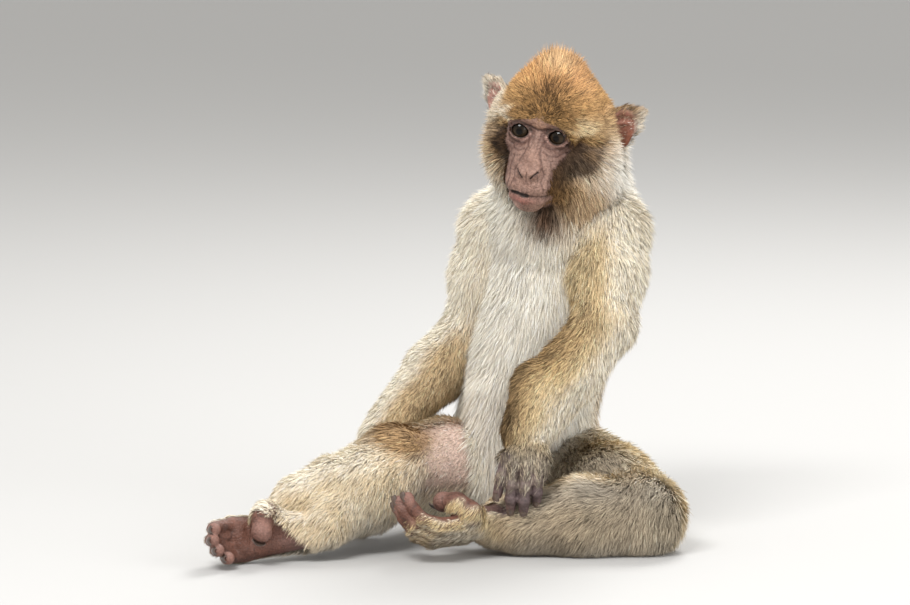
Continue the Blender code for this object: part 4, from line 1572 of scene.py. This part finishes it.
# ---- eyes and nails
def eyeball(side, name):
    """A glossy eye, painted in rings about the way it looks, its upper half darkened as painted shadow of
    the upper lid.
    """
    rings, around = 56, 64
    angle = np.linspace(0, math.pi, rings)
    spin = np.arange(around) * 2 * math.pi / around
    a, s = np.meshgrid(angle, spin, indexing="ij")
    radius = EYE_RADIUS + 0.9 * ring(a, 0, 0.5)  # the clear front bulges
    gaze = unit(HEAD_TURN @ np.array([-side * 0.13, -1, -0.04]))
    right = unit(np.cross(gaze, np.array([0, 0, 1.0])))
    points = eye_middle(side) + (radius * np.cos(a))[..., None] * gaze
    points = points + (radius * np.sin(a) * np.cos(s))[..., None] * right
    points = points + (radius * np.sin(a) * np.sin(s))[..., None] * np.cross(right, gaze)
    index = np.arange(rings * around).reshape(rings, around)
    beside = np.roll(index, -1, 1)
    quads = np.stack([index[:-1], beside[:-1], beside[1:], index[1:]], -1).reshape(-1, 4)
    at = np.degrees(a).ravel()
    streak = noise(np.stack([np.cos(s) * 6, np.sin(s) * 6, a * 9], -1).reshape(-1, 3), 1.0, 61)[:, 0]
    iris = mixed(linear(50, 40, 29), linear(28, 22, 16), 0.5 + 0.5 * streak)
    colour = layered(
        linear(74, 52, 40),
        (mixed(iris, linear(60, 47, 32), 0.4 * ring(at, 24, 6)), smooth(39, 37, at)),
        (linear(12, 9, 8), ring(at, 38, 3.5)),
        (linear(9, 7, 6), smooth(18, 12, at)),
        # Painted shadow of the upper lid over the upper half.
        (linear(6, 5, 5), 0.8 * smooth(0.0, 0.4, (np.sin(a) * np.sin(s)).ravel())),
    )
    obj = make_mesh("eyeball_" + name[-1], points.reshape(-1, 3), quads)
    add_colour(obj.data, "colour", colour)
    dress(obj, painted("eye_" + name[-1], 0.05, 0.14)[0])
    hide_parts(name)


def nail(points, dorsal, radius):
    """A curved plate on the back of a finger end."""
    tip, last = points[-1], points[-2]
    along, dorsal = frame_of(tip - last, dorsal)
    across = np.cross(along, dorsal)
    rows, columns = 7, 9
    uu, vv = np.meshgrid(np.linspace(-1, 1, rows), np.linspace(-1, 1, columns), indexing="ij")
    rounded = np.sqrt(np.clip(1.25 - ((uu - 0.5) * 2) ** 2 * 0.7, 0, 1))
    width = (0.86 + 0.14 * uu) * np.where(uu > 0.5, rounded, 1)
    angle = vv * 0.95
    drop = -0.28 * radius * np.clip(uu, 0, 1) ** 2
    spine = tip + along * (radius * 0.55) + (uu * radius * 0.875)[..., None] * along
    shell = []
    for lift in (0.35, -0.55):
        r = radius * 0.98 + lift
        p = spine + (np.sin(angle) * r * width)[..., None] * across
        shell.append((p + (np.cos(angle) * r + drop)[..., None] * dorsal).reshape(-1, 3))
    index = np.arange(rows * columns).reshape(rows, columns)
    top = np.stack([index[:-1, :-1], index[1:, :-1], index[1:, 1:], index[:-1, 1:]], -1).reshape(-1, 4)
    edge = np.concatenate([index[0, :-1], index[:-1, -1], index[-1, :0:-1], index[:0:-1, 0]])
    after, below = np.roll(edge, -1), rows * columns
    rim = np.stack([edge, after, after + below, edge + below], -1)
    return np.concatenate(shell), np.concatenate([top, top[:, ::-1] + below, rim[:, ::-1]])


def nails():
    points, quads, count = [], [], 0
    for digit_end in DIGITS:
        p, q = nail(*digit_end)
        points.append(p)
        quads.append(q + count)
        count += len(p)
    points = np.concatenate(points)
    points[:, 2] = np.maximum(points[:, 2], NAIL_GAP)
    dress(make_mesh("nails", points, np.concatenate(quads)), nail_material())


# ---- stage, lights and camera
def stage():
    bpy.ops.mesh.primitive_plane_add(size=24, location=(0, 0, 0))
    floor = bpy.context.object
    floor.name = "floor"
    material, _, _, shader = principled("floor", 0.8)
    shader.inputs["Base Color"].default_value = (0.44, 0.435, 0.425, 1)
    floor.data.materials.append(material)
    world = bpy.data.worlds.new("studio")
    world.use_nodes = True
    background = world.node_tree.nodes["Background"]
    background.inputs["Color"].default_value = (1.0, 0.99, 0.97, 1)
    background.inputs["Strength"].default_value = 0.85
    bpy.context.scene.world = world


LIT = Vector((0, 0, 0.2))  # what the lights aim at


def area_light(name, place, width, height, power):
    data = bpy.data.lights.new(name, "AREA")
    data.energy = power
    data.shape = "RECTANGLE"
    data.size, data.size_y = width, height
    lamp = new_object(name, data)
    lamp.location = place
    lamp.rotation_euler = (LIT - Vector(place)).to_track_quat("-Z", "Y").to_euler()


def camera(aim, away, pitch):
    """Looks at a place (mm) from in front of it, so many metres away and radians above the level."""
    data = bpy.data.cameras.new("camera")
    data.lens = 200
    data.sensor_width = 36
    cam = new_object("camera", data)
    ahead = np.array([0, -math.cos(pitch), math.sin(pitch)])
    cam.location = np.array(aim) * MM + SHIFT + away * ahead
    cam.rotation_euler = (math.pi / 2 - pitch, 0, 0)
    bpy.context.scene.camera = cam
    bpy.context.scene.view_settings.view_transform = "Standard"


# ---- the animal
def skin_piece():
    """Makes the skin, and returns what the coat grows on: its mesh, and each face's group and density."""
    points, faces = skin_mesh()
    points = points - vertex_normals(points, faces) * pressed(head_frame(points))[:, None]
    normals = vertex_normals(points, faces)
    obj = make_mesh("skin", points, faces)
    add_colour(obj.data, "colour", skin_colour(points, normals))
    dress(obj, skin_material())
    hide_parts(*(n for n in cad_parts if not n.startswith("eye_")))
    middles, n = points[faces].mean(1), unit(normals[faces].mean(1))
    groups, share, along = group_of(middles)
    return points, faces, normals, groups, local_coat(middles, n, share, along)[3]


body_forms()
head_forms()
limb_end_forms()
floor_form()
skin = skin_piece()
coat_material = painted("coat", 0.62, 0.08)[0]
for group in COAT_PIECES:
    coat_piece(group, skin, coat_material)
eyeball(-1, "eye_R")
eyeball(1, "eye_L")
nails()

stage()
area_light("key", (-0.7, -1.5, 2.0), 1.1, 0.45, 56)
area_light("fill", (1.6, -1.3, 0.8), 1.4, 1.4, 24)
area_light("back", (0.7, 1.3, 1.9), 1.0, 1.0, 42)
camera((-58.5, 0, 178.5), 3.94, math.radians(8))
